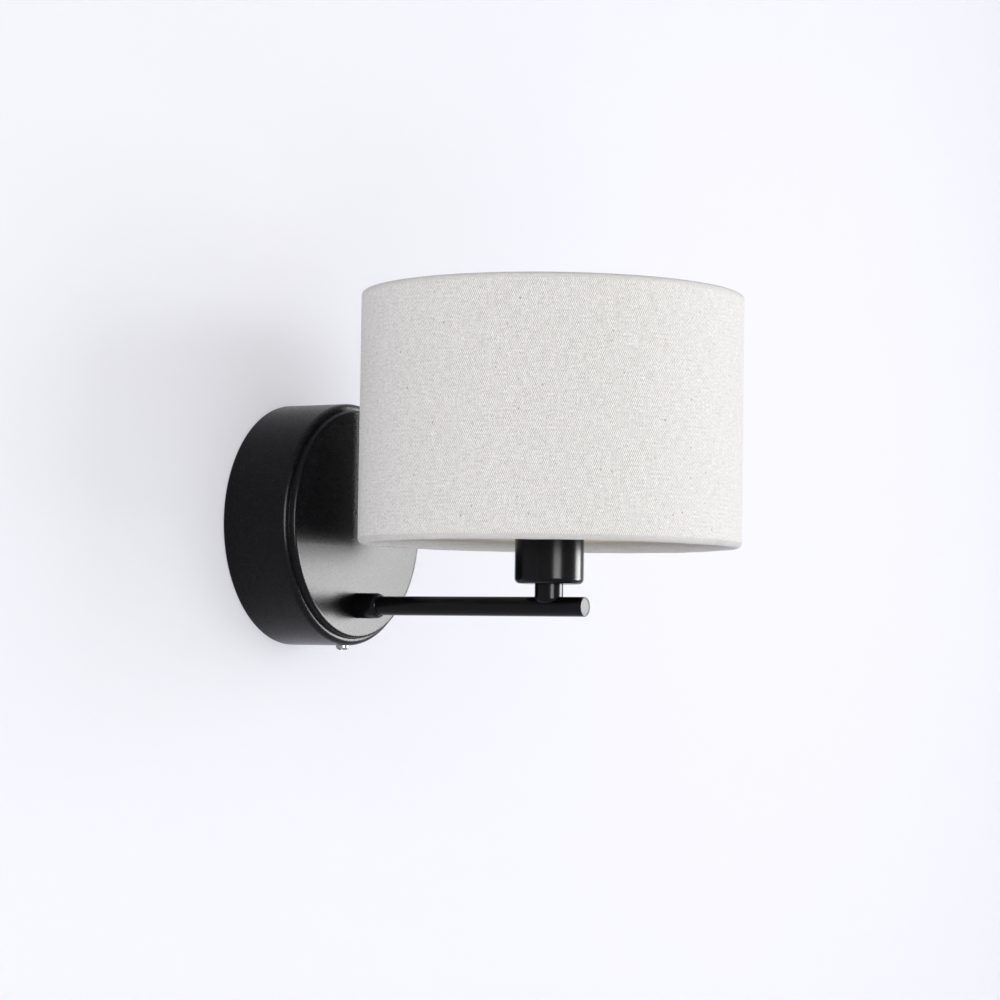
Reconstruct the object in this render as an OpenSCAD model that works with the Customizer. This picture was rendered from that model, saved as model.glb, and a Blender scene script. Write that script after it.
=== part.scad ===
// Wall sconce with a round canopy, a straight tube arm and an upright linen drum shade.
// Millimetres. Z is up, the wall is the plane y = 0 and the lamp stands out towards -Y.
// The origin is the centre of the canopy's back, on the wall.

/* [Canopy] */
// Outside diameter of the canopy
canopy_d = 120; // [110:1:150]
// Depth of the canopy's side wall, from the wall to the front ring
canopy_depth = 36.1; // [32:0.1:45]
// Thickness of the drawn steel sheet
canopy_sheet = 1.2; // [0.8:0.1:1.5]
// How far the raised disc lies inside the outside of the canopy
disc_inset = 3.4; // [2.6:0.1:6]
// How far the raised disc stands out from the front ring
disc_rise = 3.3; // [1.8:0.1:4]
// Rounding of the front corner of the side wall
canopy_round = 1.5; // [0.5:0.1:1.8]
// Rounding of the corner of the raised disc
disc_round = 0.8; // [0.3:0.1:1.2]

/* [Wall bracket] */
// Thickness of the bracket's strap
strap_t = 2; // [1.5:0.1:2.5]
// Width of the strap at the slots
strap_w = 25; // [22:1:30]
// Length of the strap's wide middle
strap_len = 98; // [96:1:100]
// Width of the two bent ears
ear_w = 14; // [10:0.5:18]
// Inside radius of the bends
bend_r = 1; // [0.5:0.1:2]
// How far the top ear stands out from the wall
top_ear_len = 16; // [12:0.5:24]
// Gap between the bracket and the inside of the canopy
ear_gap = 0.3; // [0.1:0.1:0.8]
// Distance between the middles of the two wall screw slots
slot_spacing = 80; // [78:1:82]
// Length of each slot, end to end
slot_len = 12; // [8:0.5:12]
// Width of each slot
slot_w = 4.6; // [3.6:0.1:5.4]
// Diameter of the hole for the supply cable
cable_hole_d = 12; // [8:0.5:13]

/* [Canopy fixing] */
// Distance of the canopy screw from the wall
canopy_screw_y = 30.5; // [26:0.5:30.5]
// Thread diameter of the canopy screw and the earth screw
screw_d = 4; // [3:0.5:4.5]
// Head diameter of the canopy screw and the earth screw
screw_head_d = 6.5; // [6:0.1:8]
// Height of the domed heads of those two screws
screw_head_h = 2.5; // [1.8:0.1:3]
// Length of the canopy screw under its head
screw_len = 8; // [6:0.5:12]
// Width of the screwdriver slots
driver_slot_w = 0.8; // [0.5:0.1:1]
// Distance of the locating stud from the wall
stud_y = 10; // [7:0.5:11]
// Diameter of the locating stud
stud_d = 4; // [3:0.5:5]
// Thickness of the locating stud's rivet head
stud_head_t = 1; // [0.6:0.1:1.5]

/* [Terminals and earthing] */
// Distance between neighbouring poles of the terminal block
pole_pitch = 9; // [8.5:0.1:10]
// Height of the terminal block
block_h = 16; // [14:0.5:18]
// Depth of the terminal block in front of the strap
block_depth = 12; // [11:0.5:14]
// Height of the terminal block's underside above the canopy's centre
block_z = 12; // [10:0.5:13]
// Outside diameter of the brass inserts in the terminal block
insert_d = 3.8; // [3.4:0.1:4]
// Bore of the brass inserts
insert_bore = 2.7; // [2.5:0.1:2.8]
// Thread diameter of the clamping screws in the terminal block
clamp_d = 2.4; // [2:0.1:2.6]
// Thread diameter of the screw that holds the terminal block
block_screw_d = 3; // [2.5:0.1:3.5]
// Height of the earth screw below the canopy's centre
earth_screw_drop = 16; // [15:0.5:18]
// Thickness of the earth lugs
lug_t = 0.7; // [0.5:0.1:1]
// Outside diameter of the ring of an earth lug
lug_d = 8; // [7:0.5:9]
// Outside diameter over the wire's insulation
wire_d = 2.2; // [1.8:0.1:2.4]

/* [Arm] */
// Height of the arm's axis above the canopy's lowest point
arm_edge = 19.8; // [18:0.1:22]
// Outside diameter of the arm tube
arm_d = 9.4; // [9:0.1:10]
// Wall of the arm tube
arm_wall = 1; // [0.8:0.1:1.2]
// Distance of the lamp's axis from the wall
arm_reach = 148; // [130:1:200]
// How far the arm runs on beyond the lamp's axis
arm_overrun = 20; // [12:0.5:30]
// Thickness of the end plug's head
plug_head = 1; // [0.6:0.1:2]
// Length of the end plug's shank inside the tube
plug_shank = 6; // [4:0.5:7]
// Outside diameter of the collar that holds the arm
collar_d = 12.6; // [12:0.1:15]
// Length of the collar outside the canopy
collar_len = 13.4; // [12:0.1:20]
// Length of the collar's rounded nose
nose_len = 3; // [1:0.1:4]
// Thickness of the socket's floor inside the collar
socket_floor = 2.2; // [1.5:0.1:4]
// Thread diameter of the collar's tail
tail_d = 10; // [9.5:0.1:10.4]
// Length of the collar's tail behind the canopy's front face
tail_len = 10.2; // [9.5:0.1:12]
// Thread diameter of the set screw under the collar
set_screw_d = 3; // [2:0.5:4]
// Distance of the set screw from the canopy's front face
set_screw_y = 7.5; // [6:0.5:8]
// Width across flats of the two hexagon nuts
nut_af = 14; // [13:0.5:16]
// Thickness of the nut behind the canopy
lock_nut_t = 3; // [2:0.1:3.5]
// Thickness of the toothed washer
washer_t = 0.9; // [0.6:0.1:1.2]
// Outside diameter of the toothed washer
washer_d = 17; // [15:0.5:18]

/* [Stem and cup] */
// Outside diameter of the stem
stem_d = 13.6; // [12.6:0.1:15]
// Height of the cup's underside above the arm's axis
stem_rise = 10.8; // [10.6:0.1:16]
// How far the stem's saddle reaches down beside the arm
saddle_depth = 3.6; // [3:0.1:4.3]
// Rounding of the stem's lower edge
stem_round = 3; // [1:0.1:3]
// Bore of the stem and of the hole in the arm below it, for the wires
wire_bore = 6.6; // [6.4:0.1:6.8]
// Thread diameter of the hollow nipple
nipple_d = 9.9; // [9.6:0.1:10]
// Bore of the hollow nipple
nipple_bore = 7; // [6.6:0.1:7.4]
// Depth of the nipple's thread in the stem
nipple_in_stem = 5; // [4:0.1:5.4]
// Thickness of the nut inside the cup
cup_nut_t = 2.5; // [2:0.1:3]
// Outside diameter of the cup
cup_d = 33; // [32.6:0.1:38]
// Height of the cup
cup_h = 31.9; // [28:0.1:34]
// Wall of the cup
cup_wall = 1; // [0.6:0.1:1.2]
// Rounding of the cup's lower edge
cup_round = 2.5; // [1:0.1:4]

/* [Lampholder] */
// Outside diameter of the holder's base
base_d = 25.2; // [24:0.1:25.4]
// Height of the holder's base
base_h = 18; // [17.5:0.1:19]
// Thickness of the base's threaded floor
base_floor = 6; // [5:0.1:6.2]
// Outside diameter of the threaded skirt
skirt_d = 28; // [27.6:0.1:29]
// Wall of the threaded skirt
skirt_wall = 1.3; // [1:0.1:1.4]
// Height of the skirt above its flange
skirt_up = 19.5; // [18.4:0.1:20]
// Depth of the skirt below its flange
skirt_down = 17.5; // [14:0.1:19]
// Thickness of the skirt's flange, which lies on the cup's rim
flange_t = 2; // [1.5:0.1:3]
// Outside diameter of the flange
flange_d = 32.6; // [31.5:0.1:36]
// Height of the skirt's inner lip
lip_h = 3; // [2:0.1:4]
// Thickness of the insulating floor under the screw shell
insert_floor = 5; // [4:0.1:6]
// Inside diameter of the screw shell, for a 14 mm lamp cap
shell_bore = 14.3; // [14.2:0.1:14.6]
// Wall of the screw shell
shell_wall = 0.35; // [0.3:0.05:0.5]
// Height of the screw shell
shell_h = 20; // [16:0.5:21]
// Side of the two push-in terminals under the holder's floor
push_box = 4.4; // [3.8:0.1:4.6]
// Distance of the push-in terminals from the lamp's axis
push_x = 5.5; // [5.3:0.1:5.8]
// Thickness of the contact strips
strip_t = 0.6; // [0.4:0.1:0.7]

/* [Shade] */
// Outside diameter of the shade
shade_d = 183; // [150:1:240]
// Height of the shade
shade_h = 120; // [100:1:180]
// Height of the fitter ring above the shade's lower rim
fitter_recess = 16; // [10:0.5:24]
// Thickness of the linen
linen_t = 0.6; // [0.4:0.1:1]
// Thickness of the stiff lining
liner_t = 0.5; // [0.3:0.1:0.8]
// Diameter of the hoop and spoke wire
wire_frame_d = 3; // [2:0.1:4]
// Number of spokes
spokes_n = 3; // [3:1:4]
// Outside diameter of the fitter ring
fitter_d = 42; // [41:0.5:50]
// Thickness of the fitter ring
fitter_t = 1; // [0.8:0.1:2]
// Outside diameter of the shade ring's flange
ring_flange_d = 38; // [37:0.5:41]
// Thickness of the shade ring's flange
ring_flange_t = 2; // [1.5:0.1:3]
// Outside diameter of the shade ring's ribbed body
ring_body_d = 33; // [32:0.5:35]
// Height of the shade ring
ring_h = 8; // [6:0.5:10]
// Number of grip ribs round the shade ring
ribs_n = 24; // [12:1:30]
// Radius of one grip rib
rib_r = 0.7; // [0.4:0.1:1]

/* [Light bulb] */
// Diameter of the bulb's globe
globe_d = 45; // [40:1:60]
// Length of the bulb from its contact to the top of the globe
bulb_len = 78; // [74:1:100]
// Diameter over the cap's thread
cap_d = 13.9; // [13.7:0.1:13.9]
// Pitch of the cap's thread
cap_pitch = 2.82; // [2.5:0.01:3]
// Number of thread turns on the cap
cap_turns = 4; // [3:1:4]
// Diameter of the cap's collar
cap_collar_d = 17; // [16:0.1:18]
// Length of the bulb's cap with its insulator
cap_len = 25; // [24:0.5:27]
// Thickness of the globe's glass
glass_t = 0.8; // [0.5:0.1:1.2]
// Number of filament sticks
sticks_n = 4; // [2:1:6]
// Length of one filament stick
stick_len = 26; // [20:1:28]

/* [Clearances] */
// Radial gap in a screw thread
thread_gap = 0.05; // [0.02:0.01:0.1]
// Radial gap of a bolt or a stud in a plain hole
hole_gap = 0.2; // [0.1:0.05:0.4]
// Radial gap between the arm and what holds it
arm_gap = 0.05; // [0.02:0.01:0.1]
// Radial gap round a turning shade, shade ring or bulb
turn_gap = 0.3; // [0.2:0.05:0.4]
// Gap between the bulb's contact and the lampholder's
contact_gap = 0.3; // [0.1:0.05:0.5]
// Gap between a thread's end and the shoulder before it
end_gap = 0.2; // [0.1:0.05:0.4]
// Gap between a wire's insulation and what it passes through
wire_gap = 0.15; // [0.1:0.05:0.3]
// Gap between a contact strip and the slot it passes through
strip_gap = 0.15; // [0.1:0.05:0.3]
// How far a screw in the strap ends short of the wall
back_gap = 0.2; // [0.1:0.05:0.5]

/* [Hidden] */
$fn = 64;
round_fn = 128;

// Overshoot of cutting shapes, and overlap of shapes joined in one piece
cut = 1;
join = 0.1;

canopy_r = canopy_d / 2;
disc_r = canopy_r - disc_inset;
face_y = canopy_depth + disc_rise;
inner_r = canopy_r - canopy_sheet;
inner_face_y = face_y - canopy_sheet;
ear_z = sqrt(inner_r * inner_r - ear_w * ear_w / 4) - ear_gap;
ear_len = canopy_depth - canopy_sheet - ear_gap;
stud_head_r = stud_d / 2 + 1.2;

arm_z = arm_edge - canopy_r;
arm_r = arm_d / 2;
arm_bore_r = arm_r - arm_wall;
socket_y = face_y + socket_floor;
arm_end_y = arm_reach + arm_overrun - plug_head;
tail_r = tail_d / 2;
nose_edge = 0.25;
set_socket_depth = 0.9;
washer_y = inner_face_y - washer_t;
tag_y = washer_y - lug_t;
notches_n = 12;
notch_w = 0.8;
notch_depth = 1;

stem_top_z = arm_z + stem_rise;
stem_low_z = arm_z + arm_r - saddle_depth;
nipple_low_z = stem_top_z - nipple_in_stem;
cup_floor_z = stem_top_z + cup_wall;
least_round = 0.2;
base_z = cup_floor_z + cup_nut_t;
base_wall = 2;
base_top_z = base_z + base_h;
cup_top_z = stem_top_z + cup_h;
flange_top_z = cup_top_z + flange_t;
insert_r = base_d / 2 - 0.3;
shell_z = base_top_z + insert_floor;
shell_r = shell_bore / 2 + shell_wall;
skirt_top_z = flange_top_z + skirt_up;
lip_gap = 1;

// Push-in terminals, contact strips and the centre contact
push_h = 6;
push_depth = 6;
push_hole = 4.5;
centre_strip_w = 4;
shell_strip_w = 3;
shell_strip_up = 4;
foot_t = 1;
contact_lift = 0.1;
contact_h = 1.2;
contact_r = 1.5;
shell_strip_x = shell_r + contact_lift;

fitter_top_z = flange_top_z + fitter_t;
fitter_hole_r = skirt_d / 2 + 2 * turn_gap;
shade_low_z = flange_top_z - fitter_recess;
shade_top_z = shade_low_z + shade_h;
shade_r = shade_d / 2;
hoop_wire_r = wire_frame_d / 2;
roll_r = hoop_wire_r + liner_t + linen_t;
roll_end = 115;
hoop_r = shade_r - roll_r;
low_hoop_z = shade_low_z + roll_r;
top_hoop_z = shade_top_z - roll_r;
weld = 0.4;

// Bulb: contact, insulator, cap, glass and filament sticks
tip_z = shell_z + contact_lift + strip_t + contact_h + contact_gap;
tip_h = 1.2;
tip_r = 2.6;
insulator_h = 3.2;
cap_z = tip_z + tip_h + insulator_h;
cap_top_z = tip_z + cap_len;
cap_r = cap_d / 2;
cap_sheet = 0.3;
cap_floor = 1;
cap_root_r = cap_r - 0.5;
cap_low_r = cap_root_r - 0.6;
cap_thread_z = cap_z + 1.2;
cap_band_h = 2.5;
cap_cone_h = 2.5;
cap_collar_r = cap_collar_d / 2;
globe_r = globe_d / 2;
globe_z = tip_z + bulb_len - globe_r;
globe_from = -52;
neck_r = cap_collar_r - cap_sheet - 0.3;
neck_sink = 2;
stick_r = 0.9;
stick_x = 6;
stick_z = globe_z - stick_len / 2;
pillar_r = 1.2;
holder_wire_r = 0.3;
flare_r = neck_r - glass_t - 0.1;
flare_h = 5;
flare_sink = 1.8;

// Terminal block, its screws and the crimped ends
block_w = 3 * pole_pitch + 1;
block_front_y = strap_t + block_depth;
block_mid_z = block_z + block_h / 2;
pole_y = strap_t + block_depth / 2;
tower_w = pole_pitch - 1;
web_depth = block_depth * 0.7;
web_step = 2;
insert_sink = 1;
clamp_rows = [0.25, 0.75];
clamp_well_r = clamp_d / 2 + 0.6;
clamp_tip = insert_bore / 2 - 0.1;
clamp_sink = 1;
clamp_slot_depth = 0.8;
block_skin = 0.3;
block_seat_y = pole_y + insert_d / 2 + block_skin;
block_head_h = block_front_y - block_seat_y - block_skin;
block_head_r = block_screw_d;
wire_r = wire_d / 2;
wire_hole_r = wire_r + wire_gap;
wire_x = wire_r + wire_gap;
crimp_t = 0.5;
crimp_r = wire_hole_r + crimp_t;
lug_floor = 0.8;
lug_neck = 0.5;
lug_barrel = 4;
tag_ring_r = tail_r + 2.5;
tag_neck = 2;
tag_barrel = 5;
wire_end_gap = 0.5;
lug_wire_start = lug_d / 2 + lug_neck + lug_floor + wire_end_gap;
tag_wire_start = tag_ring_r + tag_neck + lug_floor + wire_end_gap;

// Where the wires' ends lie: in the block, in the two lugs and in the tag
block_wire_z = block_z + clamp_rows[0] * block_h + clamp_d;
block_exit_z = block_z - 1;
lug_y = strap_t + crimp_r;
outer_lug_y = lug_y + lug_t;
lug_wire_z = -earth_screw_drop + lug_wire_start;
tag_wire_y = washer_y - crimp_r;
tag_wire_z = arm_z + tag_wire_start;
lead = 2.8;
loop_x = 14;
loop_y = 17;

// An arc as a list of points, from angle a to angle b
function arc(cx, cy, r, a, b, n = 6) =
  [for (i = [0 : n]) let (t = a + (b - a) * i / n) [cx + r * cos(t), cy + r * sin(t)]];

// A smooth curve through points p: four steps to a span
function at(p, i) = p[max(0, min(len(p) - 1, i))];
function blend4(a, b, c, d, t) =
  (2 * b + (c - a) * t + (2 * a - 5 * b + 4 * c - d) * t * t + (3 * b - a - 3 * c + d) * t * t * t) / 2;
function smooth(p, n = 4) = concat(
  [for (i = [0 : len(p) - 2], k = [0 : n - 1]) blend4(at(p, i - 1), p[i], p[i + 1], at(p, i + 2), k / n)],
  [p[len(p) - 1]]);

// Directions along a path, and a side direction that turns with it as little as it can
function unit(v) = v / norm(v);
function heading(p, i) = unit(at(p, i + 1) - at(p, i - 1));
function square_to(v, t) = unit(v - (v * t) * t);
function sides(p, i = 0, s = [1, 0.02, 0.01]) =
  i == len(p) ? [] : let (n = square_to(s, heading(p, i))) concat([n], sides(p, i + 1, n));

// A round wire of radius r swept along points, with m sides
module wire(points, r = wire_r, m = 8) {
  p = smooth(points);
  s = sides(p);
  rings = [for (i = [0 : len(p) - 1], k = [0 : m - 1])
    let (t = heading(p, i), b = cross(t, s[i]), a = 360 * k / m) p[i] + r * (cos(a) * s[i] + sin(a) * b)];
  last = (len(p) - 1) * m;
  walls = [for (i = [0 : len(p) - 2], k = [0 : m - 1])
    [i * m + k, i * m + (k + 1) % m, (i + 1) * m + (k + 1) % m, (i + 1) * m + k]];
  polyhedron(rings, concat(walls, [[for (k = [m - 1 : -1 : 0]) k], [for (k = [0 : m - 1]) last + k]]));
}

// Places a shape so that its own z is the distance from the wall and its own y is up
module from_wall(z = 0) translate([0, 0, z]) rotate([90, 0, 0]) children();

// Places a shape on the lamp's upright axis
module on_lamp(z = 0) translate([0, -arm_reach, z]) children();

// A flat ring that lies in its own xy plane
module washer(outer_r, inner_r, t) {
  difference() {
    cylinder(h = t, r = outer_r);
    translate([0, 0, -cut]) cylinder(h = t + 2 * cut, r = inner_r);
  }
}

// A hexagon nut
module hex_nut(bore_r, t) {
  difference() {
    cylinder(h = t, r = nut_af / 2 / cos(30), $fn = 6);
    translate([0, 0, -cut]) cylinder(h = t + 2 * cut, r = bore_r);
  }
}

// A screw with a slotted domed head, head underside at z = 0, head towards +z
module slotted_screw(r, length, head_r, head_h) {
  rim_h = head_h * 0.4;
  difference() {
    union() {
      translate([0, 0, -length]) cylinder(h = length + join, r = r);
      rotate_extrude() polygon(concat([[0, 0], [head_r, 0]],
        [for (i = [0 : 8]) let (a = i * 90 / 8) [head_r * cos(a), rim_h + (head_h - rim_h) * sin(a)]]));
    }
    translate([-head_r - cut, -driver_slot_w / 2, head_h * 0.55])
      cube([2 * head_r + 2 * cut, driver_slot_w, head_h]);
  }
}

// A slot for a wall screw, long way up
module wall_slot(z) {
  r = slot_w / 2;
  straight = slot_len - slot_w;
  from_wall(z) translate([0, 0, -cut]) union() {
    for (s = [-1, 1]) translate([0, s * straight / 2, 0]) cylinder(h = strap_t + 2 * cut, r = r);
    translate([-r, -straight / 2, 0]) cube([slot_w, straight, strap_t + 2 * cut]);
  }
}

// A round hole through the strap
module strap_hole(x, z, r) from_wall(z) translate([x, 0, -cut]) cylinder(h = strap_t + 2 * cut, r = r);

// One bent ear: the outline is drawn in the yz plane, side -1 is the bottom one
module bent_ear(side, length) {
  outer = strap_t + bend_r;
  outline = concat(
    [[0, strap_len / 2 - cut]],
    arc(-outer, ear_z - outer, outer, 0, 90),
    [[-length, ear_z], [-length, ear_z - strap_t]],
    arc(-outer, ear_z - outer, bend_r, 90, 0),
    [[-strap_t, strap_len / 2 - cut]]);
  mirror([0, 0, side < 0 ? 1 : 0])
    translate([-ear_w / 2, 0, 0]) rotate([90, 0, 90]) linear_extrude(ear_w) polygon(outline);
}

module wall_bracket() color("silver") {
  difference() {
    union() {
      translate([-strap_w / 2, -strap_t, -strap_len / 2]) cube([strap_w, strap_t, strap_len]);
      bent_ear(1, top_ear_len);
      bent_ear(-1, ear_len);
    }
    for (s = [-1, 1]) wall_slot(s * slot_spacing / 2);
    strap_hole(0, 0, cable_hole_d / 2);
    strap_hole(0, -earth_screw_drop, screw_d / 2 + thread_gap);
    strap_hole(pole_pitch / 2, block_mid_z, block_screw_d / 2 + thread_gap);
    translate([0, -canopy_screw_y, -ear_z - cut])
      cylinder(h = strap_t + 2 * cut, r = screw_d / 2 + thread_gap);
    translate([0, -stud_y, ear_z - strap_t - cut])
      cylinder(h = strap_t + 2 * cut, r = stud_d / 2 + thread_gap);
  }
}

module locating_stud() color("silver") translate([0, -stud_y, 0]) {
  translate([0, 0, ear_z - strap_t]) cylinder(h = canopy_r - ear_z + strap_t - hole_gap, r = stud_d / 2);
  translate([0, 0, ear_z - strap_t - stud_head_t]) cylinder(h = stud_head_t, r = stud_head_r);
}

module canopy_shell() color("#1b1b1d") {
  outside = concat(
    [[canopy_r, 0]],
    arc(canopy_r - canopy_round, canopy_depth - canopy_round, canopy_round, 0, 90),
    [[disc_r, canopy_depth]],
    arc(disc_r - disc_round, face_y - disc_round, disc_round, 0, 90),
    [[0, face_y]]);
  inside = [
    [0, inner_face_y], [disc_r - canopy_sheet, inner_face_y],
    [disc_r - canopy_sheet, canopy_depth - canopy_sheet], [inner_r, canopy_depth - canopy_sheet],
    [inner_r, 0]];
  difference() {
    from_wall() rotate_extrude($fn = round_fn) polygon(concat(outside, inside));
    from_wall(arm_z) translate([0, 0, inner_face_y - cut])
      cylinder(h = canopy_sheet + 2 * cut, r = tail_r + hole_gap);
    translate([0, -canopy_screw_y, -canopy_r - cut])
      cylinder(h = canopy_sheet + 2 * cut, r = screw_d / 2 + hole_gap);
    translate([0, -stud_y, inner_r - cut]) cylinder(h = canopy_sheet + 2 * cut, r = stud_d / 2 + hole_gap);
  }
}

module canopy_screw() color("gainsboro")
  translate([0, -canopy_screw_y, -canopy_r]) rotate([180, 0, 0])
    slotted_screw(screw_d / 2, screw_len, screw_head_d / 2, screw_head_h);

// Repeats a shape at the three poles of the terminal block
module at_poles() for (i = [-1 : 1]) translate([i * pole_pitch, -pole_y, block_z]) children();

// Repeats a shape at the two clamping screws of each pole, its own z towards the room
module at_clamps() at_poles() for (row = clamp_rows)
  translate([0, 0, row * block_h]) rotate([90, 0, 0]) children();

// Places a shape on the line of the screw that holds the terminal block
module on_block_screw() from_wall(block_mid_z) translate([pole_pitch / 2, 0, 0]) children();

module terminal_block() color("whitesmoke") {
  difference() {
    union() {
      for (i = [-1 : 1]) translate([i * pole_pitch - tower_w / 2, -block_front_y, block_z])
        cube([tower_w, block_depth, block_h]);
      translate([-block_w / 2, -strap_t - web_depth, block_z + web_step])
        cube([block_w, web_depth, block_h - 2 * web_step]);
    }
    at_poles() translate([0, 0, -cut]) cylinder(h = block_h + 2 * cut, r = insert_d / 2 + thread_gap);
    at_clamps() cylinder(h = block_depth, r = clamp_well_r);
    on_block_screw() {
      cylinder(h = block_front_y + cut, r = block_screw_d / 2 + hole_gap);
      translate([0, 0, block_seat_y]) cylinder(h = block_depth, r = block_head_r + hole_gap);
    }
  }
}

module terminal_inserts() color("goldenrod") {
  difference() {
    at_poles() translate([0, 0, insert_sink])
      washer(insert_d / 2, insert_bore / 2, block_h - 2 * insert_sink);
    at_clamps() cylinder(h = insert_d, r = clamp_d / 2 + thread_gap);
  }
}

module terminal_screws() color("silver") {
  screw_h = block_depth / 2 - clamp_tip - clamp_sink;
  at_clamps() translate([0, 0, clamp_tip]) difference() {
    cylinder(h = screw_h, r = clamp_d / 2);
    translate([-clamp_d, -driver_slot_w / 4, screw_h - clamp_slot_depth])
      cube([2 * clamp_d, driver_slot_w / 2, clamp_slot_depth + cut]);
  }
}

module block_screw() color("silver") on_block_screw() translate([0, 0, block_seat_y])
  slotted_screw(block_screw_d / 2, block_seat_y - back_gap, block_head_r, block_head_h);

module earth_screw() color("gold") {
  stack = strap_t + 2 * lug_t;
  from_wall(-earth_screw_drop) translate([0, 0, stack])
    slotted_screw(screw_d / 2, stack - back_gap, screw_head_d / 2, screw_head_h);
}

// A crimp lug: a ring that lies on z = 0 with its barrel along +y
module lug(hole_r, ring_r, neck, barrel_len) {
  difference() {
    union() {
      cylinder(h = lug_t, r = ring_r);
      translate([-crimp_r, 0, 0]) cube([2 * crimp_r, ring_r + neck + crimp_t, lug_t]);
      translate([0, ring_r + neck, crimp_r]) rotate([-90, 0, 0]) cylinder(h = barrel_len, r = crimp_r);
    }
    translate([0, 0, -cut]) cylinder(h = lug_t + 2 * cut, r = hole_r);
    translate([0, ring_r + neck + lug_floor, crimp_r]) rotate([-90, 0, 0])
      cylinder(h = barrel_len, r = wire_hole_r);
  }
}

module earth_lugs() color("lightgray") from_wall(-earth_screw_drop) for (i = [0, 1])
  translate([0, 0, strap_t + i * lug_t]) rotate([0, 0, -90 * i])
    lug(screw_d / 2 + hole_gap, lug_d / 2, lug_neck, lug_barrel);

// Ring tag clamped behind the canopy, its barrel upwards
module earth_tag() color("lightgray") from_wall(arm_z) translate([0, 0, washer_y]) mirror([0, 0, 1])
  lug(tail_r + hole_gap, tag_ring_r, tag_neck, tag_barrel);

module lock_washer() color("silver") from_wall(arm_z) translate([0, 0, washer_y]) difference() {
  washer(washer_d / 2, tail_r + hole_gap, washer_t);
  for (i = [0 : notches_n - 1]) rotate([0, 0, i * 360 / notches_n])
    translate([washer_d / 2 - notch_depth, -notch_w / 2, -cut])
      cube([notch_depth + cut, notch_w, washer_t + 2 * cut]);
}

module lock_nut() color("silver") from_wall(arm_z) translate([0, 0, tag_y - lock_nut_t])
  hex_nut(tail_r + thread_gap, lock_nut_t);

module arm_collar() color("#1b1b1d") {
  r = collar_d / 2;
  socket_r = arm_r + arm_gap;
  bore_r = wire_bore / 2;
  back = face_y - tail_len;
  front = face_y + collar_len;
  rim = r - socket_r - nose_edge;
  nose = [for (i = [0 : 8]) let (a = i * 90 / 8)
    [r - rim + rim * cos(a), front - nose_len + nose_len * sin(a)]];
  difference() {
    from_wall(arm_z) rotate_extrude() polygon(concat(
      [[bore_r, back], [tail_r, back], [tail_r, face_y], [r, face_y]],
      nose,
      [[socket_r, front], [socket_r, socket_y], [bore_r, socket_y]]));
    translate([0, -face_y - set_screw_y, arm_z - r - cut])
      cylinder(h = r + cut, r = set_screw_d / 2 + thread_gap);
  }
}

module set_screw() color("dimgray")
  translate([0, -face_y - set_screw_y, arm_z - collar_d / 2]) difference() {
    cylinder(h = collar_d / 2 - arm_r, r = set_screw_d / 2);
    translate([0, 0, -cut]) cylinder(h = cut + set_socket_depth, r = set_screw_d / 4, $fn = 6);
  }

module arm_tube() color("#1b1b1d") difference() {
  from_wall(arm_z) translate([0, 0, socket_y]) washer(arm_r, arm_bore_r, arm_end_y - socket_y);
  on_lamp(arm_z) cylinder(h = arm_r + cut, r = wire_bore / 2);
}

module arm_end_plug() color("#1b1b1d") from_wall(arm_z) translate([0, 0, arm_end_y]) union() {
  cylinder(h = plug_head, r = arm_r);
  translate([0, 0, -plug_shank]) cylinder(h = plug_shank + join, r = arm_bore_r - arm_gap);
}

module stem() color("#1b1b1d") {
  r = stem_d / 2;
  thread_r = nipple_d / 2 + thread_gap;
  difference() {
    on_lamp() rotate_extrude() polygon(concat(
      [[wire_bore / 2, stem_low_z]],
      arc(r - stem_round, stem_low_z + stem_round, stem_round, -90, 0),
      [[r, stem_top_z], [thread_r, stem_top_z], [thread_r, nipple_low_z], [wire_bore / 2, nipple_low_z]]));
    from_wall(arm_z) translate([0, 0, arm_reach - stem_d]) cylinder(h = 2 * stem_d, r = arm_r + arm_gap);
  }
}

module threaded_nipple() color("silver") on_lamp(nipple_low_z + end_gap)
  washer(nipple_d / 2, nipple_bore / 2, base_z + base_floor - nipple_low_z - 2 * end_gap);

module holder_cup() color("#1b1b1d") on_lamp(stem_top_z) rotate_extrude() {
  r = cup_d / 2;
  hole_r = nipple_d / 2 + hole_gap;
  inner_round = max(cup_round - cup_wall, least_round);
  polygon(concat(
    [[hole_r, 0]],
    arc(r - cup_round, cup_round, cup_round, -90, 0),
    [[r, cup_h], [r - cup_wall, cup_h]],
    arc(r - cup_wall - inner_round, cup_wall + inner_round, inner_round, 0, -90),
    [[hole_r, cup_wall]]));
}

module cup_nut() color("silver") on_lamp(cup_floor_z) hex_nut(nipple_d / 2 + thread_gap, cup_nut_t);

module holder_base() color("#e8e6e0") on_lamp(base_z) difference() {
  cylinder(h = base_h, r = base_d / 2);
  translate([0, 0, -cut]) cylinder(h = base_h, r = nipple_d / 2 + thread_gap);
  translate([0, 0, base_floor]) cylinder(h = base_h, r = base_d / 2 - base_wall);
}

// The two contact strips pass through the insulating body in slots
module holder_insert() color("#e8e6e0") on_lamp(base_top_z) difference() {
  cylinder(h = insert_floor + shell_h, r = insert_r);
  translate([0, 0, insert_floor]) cylinder(h = shell_h + cut, r = shell_r + thread_gap);
  strip_slot(-push_x - strip_t / 2, centre_strip_w, insert_floor + cut);
  strip_slot(shell_strip_x, shell_strip_w, insert_floor + shell_strip_up + end_gap);
}

// A slot for a contact strip that starts at x, open below
module strip_slot(x, w, h) translate([x - strip_gap, -w / 2 - strip_gap, -cut])
  cube([strip_t + 2 * strip_gap, w + 2 * strip_gap, h + cut]);

module screw_shell() color("goldenrod") on_lamp(shell_z) washer(shell_r, shell_bore / 2, shell_h);

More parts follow.
